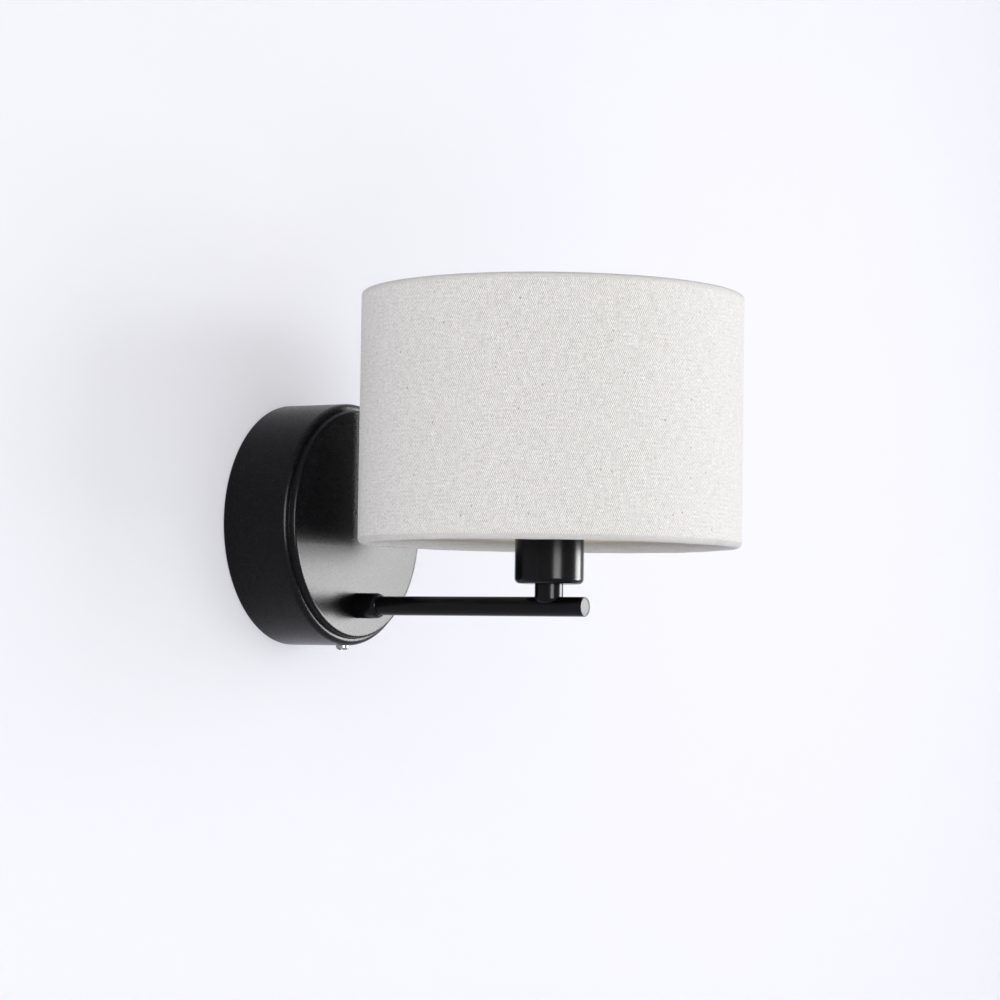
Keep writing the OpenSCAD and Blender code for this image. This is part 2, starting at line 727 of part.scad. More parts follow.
// A push-in terminal: a small box with a hole for the wire from below
module push_terminal(x) translate([x - push_box / 2, -push_depth / 2, -push_h]) difference() {
  cube([push_box, push_depth, push_h]);
  translate([push_box / 2, push_depth / 2, -cut]) cylinder(h = push_hole + cut, r = wire_hole_r);
}

module centre_contact() color("goldenrod") on_lamp(base_top_z) {
  seat = insert_floor + contact_lift;
  w = centre_strip_w;
  union() {
    push_terminal(-push_x);
    translate([-push_x - strip_t / 2, -w / 2, -join]) cube([strip_t, w, join + seat + strip_t]);
    translate([-push_x - strip_t / 2, -w / 2, seat]) cube([push_x + contact_r, w, strip_t]);
    translate([0, 0, seat]) cylinder(h = strip_t + contact_h, r = contact_r);
  }
}

module shell_contact() color("goldenrod") on_lamp(base_top_z) {
  w = shell_strip_w;
  union() {
    push_terminal(push_x);
    translate([push_x, -w / 2, -foot_t]) cube([shell_strip_x + strip_t - push_x, w, foot_t]);
    translate([shell_strip_x, -w / 2, -foot_t]) cube([strip_t, w, foot_t + insert_floor + shell_strip_up]);
  }
}

module holder_skirt() color("#e8e6e0") on_lamp() {
  r = skirt_d / 2;
  bore = r - skirt_wall;
  lip_r = cap_collar_r + turn_gap + lip_gap;
  rotate_extrude() polygon([
    [bore, cup_top_z - skirt_down], [r, cup_top_z - skirt_down], [r, cup_top_z], [flange_d / 2, cup_top_z],
    [flange_d / 2, flange_top_z], [r, flange_top_z], [r, skirt_top_z], [lip_r, skirt_top_z],
    [lip_r, skirt_top_z - lip_h], [bore, skirt_top_z - lip_h]]);
}

module shade_ring() color("#e8e6e0") on_lamp(fitter_top_z) difference() {
  union() {
    cylinder(h = ring_flange_t, r = ring_flange_d / 2);
    cylinder(h = ring_h, r = ring_body_d / 2);
    for (i = [0 : ribs_n - 1]) rotate([0, 0, i * 360 / ribs_n])
      translate([ring_body_d / 2, 0, 0]) cylinder(h = ring_h, r = rib_r, $fn = 16);
  }
  translate([0, 0, -cut]) cylinder(h = ring_h + 2 * cut, r = skirt_d / 2 + turn_gap);
}

module fitter_ring() color("white") on_lamp(flange_top_z)
  washer(fitter_d / 2, fitter_hole_r, fitter_t);

// Straight wires from the lower hoop up to the fitter ring's edge, each sunk a little into both
module spokes() color("white") {
  out = [hoop_r - hoop_wire_r + weld, low_hoop_z];
  in = [fitter_d / 2 - weld, flange_top_z + fitter_t / 2];
  run = norm(out - in);
  tilt = atan2(out[0] - in[0], out[1] - in[1]);
  for (i = [0 : spokes_n - 1]) on_lamp() rotate([0, 0, 270 + i * 360 / spokes_n])
    translate([in[0], 0, in[1]]) rotate([0, tilt, 0]) cylinder(h = run, r = hoop_wire_r);
}

module hoop(z) on_lamp(z) rotate_extrude($fn = round_fn)
  translate([hoop_r, 0]) circle(r = hoop_wire_r);

module lower_hoop() color("white") hoop(low_hoop_z);

module upper_hoop() color("white") hoop(top_hoop_z);

module shade_liner() color("ivory") on_lamp(low_hoop_z) {
  r = shade_r - linen_t;
  difference() {
    cylinder(h = top_hoop_z - low_hoop_z, r = r, $fn = round_fn);
    translate([0, 0, -cut]) cylinder(h = shade_h, r = r - liner_t, $fn = round_fn);
  }
}

// The linen goes round each hoop and ends below or above it
module shade_linen() color("#d7d6d2") on_lamp() rotate_extrude($fn = round_fn) polygon(concat(
  arc(hoop_r, low_hoop_z, roll_r, -roll_end, 0, 10),
  arc(hoop_r, top_hoop_z, roll_r, 0, roll_end, 10),
  arc(hoop_r, top_hoop_z, roll_r - linen_t, roll_end, 0, 10),
  arc(hoop_r, low_hoop_z, roll_r - linen_t, 0, -roll_end, 10)));

module bulb_tip() color("silver") on_lamp(tip_z) rotate_extrude()
  polygon([[0, 0], [tip_r * 0.4, 0], [tip_r * 0.8, tip_h / 3], [tip_r, tip_h], [0, tip_h]]);

module bulb_insulator() color("#222222") on_lamp(tip_z + tip_h) {
  r = cap_low_r - join;
  rotate_extrude() polygon([
    [0, 0], [tip_r + cap_sheet, 0], [r, insulator_h * 0.8], [r, insulator_h], [0, insulator_h]]);
}

// The cap's thread is drawn as rounded rings of its own pitch
module bulb_cap() color("silver") {
  mean_r = (cap_r + cap_root_r) / 2;
  wave = (cap_r - cap_root_r) / 2;
  steps = cap_turns * 8;
  thread_line = [for (i = [0 : steps])
    [mean_r - wave * cos(i * 45), cap_thread_z + cap_turns * cap_pitch * i / steps]];
  band_z = cap_top_z - cap_band_h;
  cone_z = band_z - cap_cone_h;
  on_lamp() rotate_extrude() polygon(concat(
    [[0, cap_z], [cap_low_r, cap_z]],
    thread_line,
    [[cap_root_r, cone_z], [cap_collar_r, band_z], [cap_collar_r, cap_top_z],
      [cap_collar_r - cap_sheet, cap_top_z], [cap_collar_r - cap_sheet, band_z + cap_sheet],
      [cap_root_r - cap_sheet, cone_z + cap_sheet], [cap_root_r - cap_sheet, cap_z + cap_floor],
      [0, cap_z + cap_floor]]));
}

// Outline of the globe from its neck to its top, drawn inwards by t
function globe_line(t) = concat(
  [[neck_r - t, cap_top_z - neck_sink]],
  [for (i = [0 : 8]) let (u = i / 8) [
    neck_r - t + (globe_r * cos(globe_from) - neck_r) * u * u,
    cap_top_z + (globe_z + globe_r * sin(globe_from) - cap_top_z) * u]],
  [for (i = [1 : 24]) let (a = globe_from + (90 - globe_from) * i / 24)
    [(globe_r - t) * cos(a), globe_z + (globe_r - t) * sin(a)]]);

module bulb_globe() color([0.95, 0.95, 0.9, 0.35]) on_lamp() rotate_extrude() {
  inner = globe_line(glass_t);
  polygon(concat(globe_line(0), [for (i = [len(inner) - 1 : -1 : 0]) inner[i]]));
}

// Glass flare and pillar, with two crosses of fine wire that hold the sticks
module bulb_mount() color([0.9, 0.92, 0.92, 0.6]) on_lamp() {
  top_z = stick_z + stick_len;
  union() {
    translate([0, 0, cap_top_z - flare_sink]) cylinder(h = flare_h, r1 = flare_r, r2 = pillar_r);
    translate([0, 0, cap_top_z]) cylinder(h = top_z + pillar_r - cap_top_z, r = pillar_r);
    for (z = [stick_z + stick_r, top_z - stick_r], i = [0 : sticks_n - 1])
      rotate([0, 0, i * 360 / sticks_n]) translate([pillar_r / 2, 0, z]) rotate([0, 90, 0])
        cylinder(h = stick_x - stick_r - pillar_r / 2, r = holder_wire_r);
  }
}

module filaments() color("khaki") on_lamp(stick_z) for (i = [0 : sticks_n - 1])
  rotate([0, 0, i * 360 / sticks_n]) translate([stick_x, 0, 0]) cylinder(h = stick_len, r = stick_r);

// The wires of the lamp run from the terminal block through the collar, the arm, the stem and the
// nipple to the lampholder: side -1 is the live wire and side 1 the neutral one
function mix(a, b, t) = a + (b - a) * t;
function in_canopy(side) = let (tail_y = face_y - tail_len, way = block_exit_z - arm_z) [
  [side * pole_pitch, -pole_y, block_wire_z],
  [side * pole_pitch, -pole_y, block_exit_z],
  [side * pole_pitch * 1.1, -mix(pole_y, tail_y, 0.1), arm_z + way * 0.75],
  [side * pole_pitch, -mix(pole_y, tail_y, 0.37), arm_z + way * 0.4],
  [side * pole_pitch * 0.55, -mix(pole_y, tail_y, 0.53), arm_z + way * 0.18],
  [side * wire_x * 1.6, -mix(pole_y, tail_y, 0.74), arm_z + wire_r],
  [side * wire_x, -tail_y, arm_z]];
function in_arm(side) = [for (i = [0 : 5])
  [side * wire_x, -mix(socket_y + wire_d, arm_reach - arm_d, i / 5), arm_z]];
function in_stem(side) = [
  [side * wire_x, -arm_reach + arm_r, arm_z - arm_r * 0.13],
  [side * wire_x, -arm_reach + arm_r * 0.34, arm_z],
  [side * wire_x, -arm_reach + arm_r * 0.06, arm_z + arm_r * 0.43],
  [side * wire_x, -arm_reach, arm_z + arm_r * 0.96],
  [side * wire_x, -arm_reach, stem_top_z],
  [side * wire_x, -arm_reach, base_z + base_floor - wire_d]];
function in_base(side) = [
  [side * wire_x * 1.8, -arm_reach, base_z + base_floor + wire_d * 0.36],
  [side * push_x * 0.93, -arm_reach, base_top_z - push_h - wire_d * 0.9],
  [side * push_x, -arm_reach, base_top_z - push_h + wire_gap],
  [side * push_x, -arm_reach, base_top_z - push_h + push_hole - wire_end_gap]];

module lamp_wire(side) wire(concat(in_canopy(side), in_arm(side), in_stem(side), in_base(side)));

module live_wire() color("saddlebrown") lamp_wire(-1);

module neutral_wire() color("royalblue") lamp_wire(1);

module block_earth_wire() color("limegreen") wire([
  [0, -pole_y, block_wire_z],
  [0, -pole_y, block_exit_z],
  [0, -pole_y + lead * 0.36, block_exit_z - lead * 2.5],
  [0, -lug_y - lead * 0.1, lug_wire_z + lead * 2.2],
  [0, -lug_y, lug_wire_z + lead * 1.15],
  [0, -lug_y, lug_wire_z]]);

// From the sideways lug round to the tag behind the canopy's face
module arm_earth_wire() color("limegreen") wire([
  [lug_wire_start, -outer_lug_y, -earth_screw_drop],
  [lug_wire_start + lead, -outer_lug_y, -earth_screw_drop],
  [lug_wire_start + lead * 1.5, -outer_lug_y, -earth_screw_drop],
  [loop_x * 0.93, -loop_y * 0.47, -earth_screw_drop - lead * 0.36],
  [loop_x, -loop_y, -earth_screw_drop - lead * 0.7],
  [loop_x * 0.64, -loop_y * 1.59, -earth_screw_drop - lead * 0.36],
  [loop_x * 0.14, -tag_wire_y, tag_wire_z + lead * 3.7],
  [0, -tag_wire_y, tag_wire_z + lead * 2.2],
  [0, -tag_wire_y, tag_wire_z + lead * 1.3],
  [0, -tag_wire_y, tag_wire_z]]);

wall_bracket();
locating_stud();
canopy_shell();
canopy_screw();
terminal_block();
terminal_inserts();
terminal_screws();
block_screw();
earth_screw();
earth_lugs();
earth_tag();
live_wire();
neutral_wire();
block_earth_wire();
arm_earth_wire();
lock_washer();
lock_nut();
arm_collar();
set_screw();
arm_tube();
arm_end_plug();
stem();
threaded_nipple();
holder_cup();
cup_nut();
holder_base();
holder_insert();
screw_shell();
centre_contact();
shell_contact();
holder_skirt();
shade_ring();
fitter_ring();
spokes();
lower_hoop();
upper_hoop();
shade_liner();
shade_linen();
bulb_tip();
bulb_insulator();
bulb_cap();
bulb_globe();
bulb_mount();
filaments();
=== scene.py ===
"""Wall sconce with a round black canopy, a straight tube arm and an upright linen drum shade.

Z is up, the wall is the plane y = 0 and the lamp stands out towards -Y. Shapes are worked out in
millimetres, from the same values as the solids, and go into the meshes in metres."""

import bmesh
import bpy
import numpy as np
from mathutils import Matrix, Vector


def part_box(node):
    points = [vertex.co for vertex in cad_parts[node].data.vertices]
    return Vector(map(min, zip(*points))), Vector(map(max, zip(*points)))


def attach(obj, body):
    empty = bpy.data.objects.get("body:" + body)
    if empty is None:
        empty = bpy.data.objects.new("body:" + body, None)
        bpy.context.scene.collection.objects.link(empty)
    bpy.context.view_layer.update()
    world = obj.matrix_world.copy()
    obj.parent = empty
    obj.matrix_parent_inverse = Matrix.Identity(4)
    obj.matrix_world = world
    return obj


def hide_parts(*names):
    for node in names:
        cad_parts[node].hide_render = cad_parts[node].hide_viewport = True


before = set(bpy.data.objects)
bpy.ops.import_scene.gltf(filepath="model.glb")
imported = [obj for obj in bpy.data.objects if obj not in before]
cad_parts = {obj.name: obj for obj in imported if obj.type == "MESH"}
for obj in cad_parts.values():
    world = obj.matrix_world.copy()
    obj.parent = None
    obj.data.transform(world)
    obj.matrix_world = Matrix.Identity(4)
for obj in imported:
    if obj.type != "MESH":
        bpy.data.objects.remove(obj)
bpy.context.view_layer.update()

MM = 0.001
TAU = 2 * np.pi
SHARP = 40  # degrees: steeper edges than this are drawn sharp


def box_mm(node):
    """Lowest and highest corner of a CAD node, in millimetres."""
    low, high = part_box(node)
    return np.array(low) / MM, np.array(high) / MM


# Sizes, in millimetres, as in the part's source. Heights are over the middle of the canopy
canopy_low, canopy_high = box_mm("canopy_shell")
CANOPY_R, FACE_Y = canopy_high[0], -canopy_low[1]
CANOPY_DEPTH, DISC_R, SHEET = 36.1, CANOPY_R - 3.4, 1.2
ARM_Z, ARM_R, ARM_BORE_R, REACH = -40.2, 4.7, 3.7, 148.0
SOCKET_Y, ARM_END_Y, TUBE_END_Y = FACE_Y + 2.2, 168.0, 167.0
COLLAR_R, COLLAR_LEN, NOSE, TAIL_R, TAIL_LEN = 6.3, 13.4, 3.0, 5.0, 10.2
STEM_R, STEM_LOW, STEM_ROUND, STEM_TOP = 6.8, ARM_Z + 1.1, 3.0, ARM_Z + 10.8
CUP_R, CUP_H, CUP_WALL, CUP_ROUND = 16.5, 31.9, 1.0, 2.5
CUP_TOP = STEM_TOP + CUP_H
SKIRT_R, SKIRT_TOP, FLANGE_R, FLANGE_TOP = 14.0, CUP_TOP + 21.5, 16.3, CUP_TOP + 2
shade_low, shade_high = box_mm("shade_linen")
SHADE_R, SHADE_LOW, SHADE_TOP = shade_high[0], shade_low[2], shade_high[2]
WIRE_R, LINEN, LINER = 1.5, 0.6, 0.5
ROLL_R = WIRE_R + LINEN + LINER
HOOP_R, LOW_HOOP, TOP_HOOP = SHADE_R - ROLL_R, SHADE_LOW + ROLL_R, SHADE_TOP - ROLL_R
# The wires' way through collar, arm and stem, and the play of what slides in
BORE_R, SLIDE = 3.3, 0.05
# The shade's upright axis
AXIS = np.array([0, -REACH, 0])


# ---- Meshes from grids of points


def rounded(profile, radius=0.3, steps=5):
    """Every inner corner P of an open profile becomes the curve (1-t)^2 A + 2t(1-t) P + t^2 B, where A and B
    lie radius before and after P, or 0.4 of the side where that is less. A support point a fifth further out
    on each side keeps the flats flat."""
    most, support = 0.4, 1.2
    p = np.array(profile, float)
    r = np.broadcast_to(radius, len(p))[1:-1]
    before, after = p[:-2] - p[1:-1], p[2:] - p[1:-1]
    long_before, long_after = np.linalg.norm(before, axis=1), np.linalg.norm(after, axis=1)
    reach_a = np.minimum(r, long_before * most)[:, None] * before / long_before[:, None]
    reach_b = np.minimum(r, long_after * most)[:, None] * after / long_after[:, None]
    t = np.linspace(0, 1, steps)[None, :, None]
    corner = p[1:-1][:, None]
    curve = corner + (1 - t) ** 2 * reach_a[:, None] + t**2 * reach_b[:, None]
    first, last = corner + support * reach_a[:, None], corner + support * reach_b[:, None]
    rows = np.concatenate([first, curve, last], axis=1)
    return np.concatenate([p[:1], rows.reshape(-1, 2), p[-1:]])


def rounded_ring(profile, radius=0.3, steps=5):
    """The same for a closed profile, whose last point joins its first."""
    p = np.array(profile, float)
    r = np.broadcast_to(radius, len(p))
    around = np.concatenate([p[-1:], p, p[:1]])
    return rounded(around, np.concatenate([r[-1:], r, r[:1]]), steps)[1:-1]


def turns(count):
    """Angles of the columns of a turned grid."""
    return np.arange(count) * TAU / count


def turned(profile, centre=AXIS, wallward=False, around=128, threads=None):
    """A profile of rows (radius r, height h) turned round an axis. A point is centre + (r cos t, r sin t, h),
    or centre + (r cos t, -h, r sin t) where the axis stands out of the wall. threads(r, h, t) may change r.
    """
    p, t = np.array(profile, float), turns(around)[None, :]
    r, h = np.broadcast_to(p[:, :1], (len(p), around)), np.broadcast_to(p[:, 1:], (len(p), around))
    if threads:
        r = threads(r, h, t)
    x, y = r * np.cos(t), r * np.sin(t)
    return np.stack([x, -h, y] if wallward else [x, y, h], -1) + centre


def thread(low, high, depth, pitch, crest):
    """Between heights low and high a radius at the crest sinks by depth (1 - cos(2 pi h / pitch - t)) / 2,
    and the groove runs out over 0.4 of the pitch at each end."""
    runout, near = 0.4 * pitch, 0.02

    def cut(r, h, t):
        ends = np.clip(np.minimum(h - low, high - h) / runout, 0, 1)
        groove = depth * ends * (0.5 - 0.5 * np.cos(TAU * h / pitch - t))
        return np.where(np.abs(r - crest) < near, r - groove, r)

    return cut


def arc(cx, cy, r, start, end, n=8):
    """Points (cx + r cos a, cy + r sin a) for angles from start to end, in degrees."""
    a = np.radians(np.linspace(start, end, n + 1))
    return np.stack([cx + r * np.cos(a), cy + r * np.sin(a)], -1)


def dense(profile, step):
    """Points added evenly along a profile so that none lie further apart than step."""
    p = np.array(profile, float)
    parts = []
    for a, b in zip(p[:-1], p[1:]):
        pieces = max(1, int(np.ceil(np.linalg.norm(b - a) / step)))
        parts.append(a + (b - a) * np.linspace(0, 1, pieces, endpoint=False)[:, None])
    return np.concatenate(parts + [p[-1:]])


def smooth_path(points, steps=8):
    """Catmull-Rom curve: between b and c it is (2b + (c-a)t + (2a-5b+4c-d)t^2 + (3b-a-3c+d)t^3) / 2."""
    p = np.array(points, float)
    q = np.concatenate([p[:1], p, p[-1:]])
    a, b, c, d = (q[i : len(q) - 3 + i, None] for i in range(4))
    t = np.linspace(0, 1, steps, endpoint=False)[None, :, None]
    curve = (2 * b + (c - a) * t + (2 * a - 5 * b + 4 * c - d) * t**2 + (3 * b - a - 3 * c + d) * t**3) / 2
    return np.concatenate([curve.reshape(-1, 3), p[-1:]])


def swept(path, radius, towards, around=16):
    """A tube along a path: ring point = path + radius (cos k side + sin k up), where side is at right angles
    to the path and to the fixed direction towards, and up to both. Its first and last rows close the ends."""
    p = np.array(path, float)
    along = np.gradient(p, axis=0)
    along /= np.linalg.norm(along, axis=1, keepdims=True)
    side = np.cross(along, np.array(towards, float))
    side /= np.linalg.norm(side, axis=1, keepdims=True)
    up = np.cross(side, along)
    k = turns(around)[None, :, None]
    r = np.broadcast_to(radius, len(p))[:, None, None]
    rings = p[:, None] + r * (np.cos(k) * side[:, None] + np.sin(k) * up[:, None])
    ends = [np.repeat(p[i][None, None], around, axis=1) for i in (0, -1)]
    return np.concatenate([ends[0], rings, ends[1]])


def build(name, grids, sharp=SHARP, closed=False, uv=None):
    """One object from grids of points in millimetres: quads between neighbouring rows and columns, the last
    column joined to the first, and where closed, the last row to the first. Points that meet are merged, and
    the faces turned outwards. uv(rows, columns) gives the map of so many quads, with one row and column more.
    """
    grids = grids if isinstance(grids, list) else [grids]
    points, faces, corners, start = [], [], [], 0
    for grid in grids:
        n, m = grid.shape[:2]
        index = start + np.arange(n * m).reshape(n, m)
        start += n * m
        right = np.roll(index, -1, axis=1)
        if closed:
            below, below_right = np.roll(index, -1, axis=0), np.roll(right, -1, axis=0)
            quads = np.stack([index, right, below_right, below], -1)
        else:
            quads = np.stack([index[:-1], right[:-1], right[1:], index[1:]], -1)
        points.append(grid.reshape(-1, 3) * MM)
        faces.append(quads.reshape(-1, 4))
        if uv is not None:
            u = uv(*quads.shape[:2])
            corners.append(np.stack([u[:-1, :-1], u[:-1, 1:], u[1:, 1:], u[1:, :-1]], 2).reshape(-1, 2))
    mesh = bpy.data.meshes.new(name)
    mesh.from_pydata(np.concatenate(points).tolist(), [], np.concatenate(faces).tolist())
    if uv is not None:
        layer = mesh.uv_layers.new(name="cloth" if closed else "along")
        layer.data.foreach_set("uv", np.concatenate(corners).ravel())
    work = bmesh.new()
    work.from_mesh(mesh)
    bmesh.ops.remove_doubles(work, verts=work.verts, dist=1e-7)
    bmesh.ops.recalc_face_normals(work, faces=work.faces)
    work.to_mesh(mesh)
    work.free()
    mesh.shade_smooth()
    mesh.set_sharp_from_angle(angle=np.radians(sharp))
    piece = bpy.data.objects.new(name, mesh)
    bpy.context.scene.collection.objects.link(piece)
    return piece


def drilled(piece, cutters):
    """Takes the closed shapes in cutters away from a piece, and leaves plain mesh."""
    for cutter in cutters:
        cut = piece.modifiers.new("hole", "BOOLEAN")
        cut.operation, cut.solver, cut.object = "DIFFERENCE", "EXACT", cutter
    shape = piece.evaluated_get(bpy.context.evaluated_depsgraph_get())
    mesh = bpy.data.meshes.new_from_object(shape)
    mesh.name = piece.name
    piece.modifiers.clear()
    piece.data = mesh
    mesh.shade_smooth()
    mesh.set_sharp_from_angle(angle=np.radians(SHARP))
    for cutter in cutters:
        bpy.data.objects.remove(cutter)
    return piece


def rod(a, b, radius, around=48):
    """A plain closed rod from point a to point b, level or upright, used as a cutter."""
    a, b = np.array(a, float), np.array(b, float)
    towards = [1, 0, 0] if abs((b - a)[2]) >= 1 else [0.3, 0.5, 0.81]
    return build("cutter", swept(np.stack([a, (a + b) / 2, b]), radius, towards, around))


# ---- Materials

FINISH = {}
# Nearly all values of a noise lie in this range, and a pattern made of it is stretched from there
NOISE_RANGE = {"From Min": 0.3, "From Max": 0.7}


def linear(code):
    """An sRGB hex colour as linear red, green, blue and 1."""
    c = np.array([int(code[i : i + 2], 16) for i in (1, 3, 5)]) / 255
    low, high = c / 12.92, ((c + 0.055) / 1.055) ** 2.4
    return (*np.where(c <= 0.04045, low, high).tolist(), 1.0)


def add(tree, kind, inputs=(), **settings):
    """Adds a node. settings are its properties. inputs are what its sockets get, in their order or by name: a
    number, a vector, a hex colour, another node's output, or a node, which gives its first live output."""
    node = tree.nodes.new(kind)
    for key, value in settings.items():
        setattr(node, key, value)
    for key, value in inputs.items() if isinstance(inputs, dict) else enumerate(inputs):
        if isinstance(value, bpy.types.Node):
            value = next(socket for socket in value.outputs if socket.enabled)
        if isinstance(value, bpy.types.NodeSocket):
            tree.links.new(value, node.inputs[key])
        else:
            node.inputs[key].default_value = linear(value) if isinstance(value, str) else value
    return node


def empty_material(name):
    """A new material and its node tree, without nodes."""
    new = bpy.data.materials.new(name)
    new.use_nodes = True
    new.node_tree.nodes.clear()
    return new, new.node_tree


def shaded(tree, colour, roughness, height, depth_mm, strength=1.0, **constants):
    """One Principled shader, with its colour and roughness from patterns, bumps of a real depth from a height
    pattern, and the constants on its own sockets."""
    bump = add(tree, "ShaderNodeBump", {"Height": height, "Distance": depth_mm * MM, "Strength": strength})
    sockets = {"Base Color": colour, "Roughness": roughness, "Normal": bump}
    sockets.update((key.replace("_", " "), value) for key, value in constants.items())
    shader = add(tree, "ShaderNodeBsdfPrincipled", sockets)
    add(tree, "ShaderNodeOutputMaterial", {"Surface": shader})


def per(size_mm):
    """Pattern scale for features of this size, where the coordinates are metres."""
    return 1000 / size_mm


def grain(tree, size_mm, detail=2.0, stretch=None, place=None):
    """Noise with features of a real size, in object coordinates, longer along an axis where stretched."""
    place = place or add(tree, "ShaderNodeTexCoord").outputs["Object"]
    if stretch:
        place = add(tree, "ShaderNodeMapping", {"Vector": place, "Scale": stretch})
    return add(tree, "ShaderNodeTexNoise", {"Vector": place, "Scale": per(size_mm), "Detail": detail})


def toned(tree, pattern, dark, light, rough_pattern, rough):
    """A tone that drifts between two colours with one noise, and a roughness that follows another."""
    drift = add(tree, "ShaderNodeMapRange", {"Value": pattern, **NOISE_RANGE})
    colour = add(tree, "ShaderNodeMix", {"Factor": drift, "A": dark, "B": light}, data_type="RGBA")
    limits = {"To Min": rough[0], "To Max": rough[1]}
    return colour, add(tree, "ShaderNodeMapRange", {"Value": rough_pattern, **NOISE_RANGE, **limits})


def plain_finish(name, dark, light, rough, size_mm, depth_mm, stretch=None, **constants):
    """A finish whose tone drifts between two colours over 25 grains, with roughness and relief from grain of
    a real size."""
    FINISH[name], tree = empty_material(name)
    slow = grain(tree, size_mm * 25, 3.0)
    fine = grain(tree, size_mm, 3.0, stretch)
    shaded(tree, *toned(tree, slow, dark, light, fine, rough), fine, depth_mm, **constants)


# Polyester powder baked on steel: deep black and satin, with a faint orange peel 0.7 mm wide. Its thin
# matting wax takes most of the gloss from square on and leaves it at a glancing angle. The coat flows out
# better on the smooth turned parts, and the saw marks keep it rough on the arm's end
for coat, rough, peel_mm in (
    ("black_powder_coat", (0.26, 0.3), 0.0008),
    ("black_coat_turned", (0.19, 0.23), 0.0006),
    ("black_coat_sawn", (0.32, 0.38), 0.02),
):
    plain_finish(coat, "#070709", "#0a0a0c", rough, 0.7, peel_mm, IOR=1.5, Specular_IOR_Level=0.12)
# Bright zinc plate over pressed steel: cool grey, with fine draw lines and cloudy passivation
plain_finish("zinc_plated_steel", "#a9aeb4", "#c6c8c4", (0.26, 0.42), 0.25, 0.006, (1, 1, 0.08), Metallic=1.0)
# Polished chrome plate: near mirror, only faint polishing haze
plain_finish("chromed_steel", "#8f9094", "#a6a7aa", (0.1, 0.16), 0.3, 0.001, Metallic=1.0)
# Black oxide on a hardened screw: dark grey metal with an oily sheen
plain_finish("blackened_steel", "#1c1c1f", "#2a2a2c", (0.3, 0.45), 0.2, 0.003, Metallic=1.0)
# Drawn brass: warm yellow with drawing lines and slight tarnish clouds
plain_finish("brass", "#b08a45", "#d3b06a", (0.22, 0.38), 0.2, 0.004, (1, 1, 0.1), Metallic=1.0)
# Moulded nylon: milky white, softly matt from a spark-eroded mould
plain_finish("nylon_white", "#dcdcd6", "#eaeae5", (0.42, 0.55), 0.3, 0.01, IOR=1.53, Subsurface_Weight=0.05)
# Moulded thermoset of the lampholder and its ring: warm white with a slight gloss
plain_finish("holder_plastic", "#e2ded6", "#ece9e3", (0.28, 0.36), 0.4, 0.006, IOR=1.55)
# Extruded PVC insulation: even colour and a soft shine, with fine die lines
plain_finish("wire_brown", "#57311a", "#68401f", (0.32, 0.42), 0.4, 0.006, IOR=1.53)
plain_finish("wire_blue", "#1c47a8", "#2a5bc0", (0.32, 0.42), 0.4, 0.006, IOR=1.53)
# White epoxy coat on the shade's wire frame: smooth and a little glossy
plain_finish("white_frame_coat", "#e6e6e3", "#f0f0ee", (0.3, 0.4), 0.8, 0.01, IOR=1.5)
# Tin-lead solder on the bulb's contact: soft grey metal, slightly dented
plain_finish("solder", "#a7a8a8", "#bfc0bf", (0.3, 0.5), 0.8, 0.03, Metallic=1.0)
# Vitrite, the black glass that insulates a bulb's cap: glossy with flow ripples
plain_finish("black_glass", "#08080a", "#101013", (0.06, 0.14), 1.0, 0.01, IOR=1.52)
# Nickel plate on a rolled brass cap: warm silver with rolling lines round it
plain_finish("nickel_cap", "#b4afa6", "#cdc9c0", (0.18, 0.32), 0.25, 0.004, (0.1, 0.1, 1), Metallic=1.0)
# Phosphor cast in silicone over the filament sticks: matt warm yellow with grains
plain_finish("filament_coat", "#e0ae45", "#f0c866", (0.55, 0.7), 0.15, 0.02, IOR=1.41, Subsurface_Weight=0.1)
# Blown soda-lime glass: clear, with a slight waviness from blowing
plain_finish("clear_glass", "#f4f6f6", "#fafbfb", (0.0, 0.02), 6.0, 0.02, IOR=1.5, Transmission_Weight=1.0)


def earth_insulation():
    """Green PVC with two yellow stripes along the wire: yellow where cos(2 x angle round it) is high."""
    FINISH["wire_green_yellow"], tree = empty_material("wire_green_yellow")
    place = add(tree, "ShaderNodeUVMap", uv_map="along")
    share = add(tree, "ShaderNodeSeparateXYZ", [place])
    wave = add(tree, "ShaderNodeMath", [share, 2 * TAU], operation="MULTIPLY")
    stripe = add(tree, "ShaderNodeMath", [wave], operation="COSINE")
    edge = add(tree, "ShaderNodeMapRange", {"Value": stripe, "From Min": 0.25, "From Max": 0.4})
    fine = grain(tree, 0.4)
    colour = add(tree, "ShaderNodeMix", {"Factor": edge, "A": "#2c8a3c", "B": "#d9cf2c"}, data_type="RGBA")
    sheen = add(tree, "ShaderNodeMapRange", {"Value": fine, **NOISE_RANGE, "To Min": 0.32, "To Max": 0.42})
    shaded(tree, colour, sheen, fine, 0.006, IOR=1.53)


def styrene_film():
    """The stiff lining under the linen: satin warm white, with the weave pressed faintly through it."""
    FINISH["lining_film"], tree = empty_material("lining_film")
    cloud = grain(tree, 25, 3.0)
    pressed = grain(tree, 0.9, 2.0, (1, 1, 0.3))
    shaded(tree, *toned(tree, cloud, "#e0dacf", "#e6e1d8", pressed, (0.4, 0.55)), pressed, 0.02, IOR=1.55)


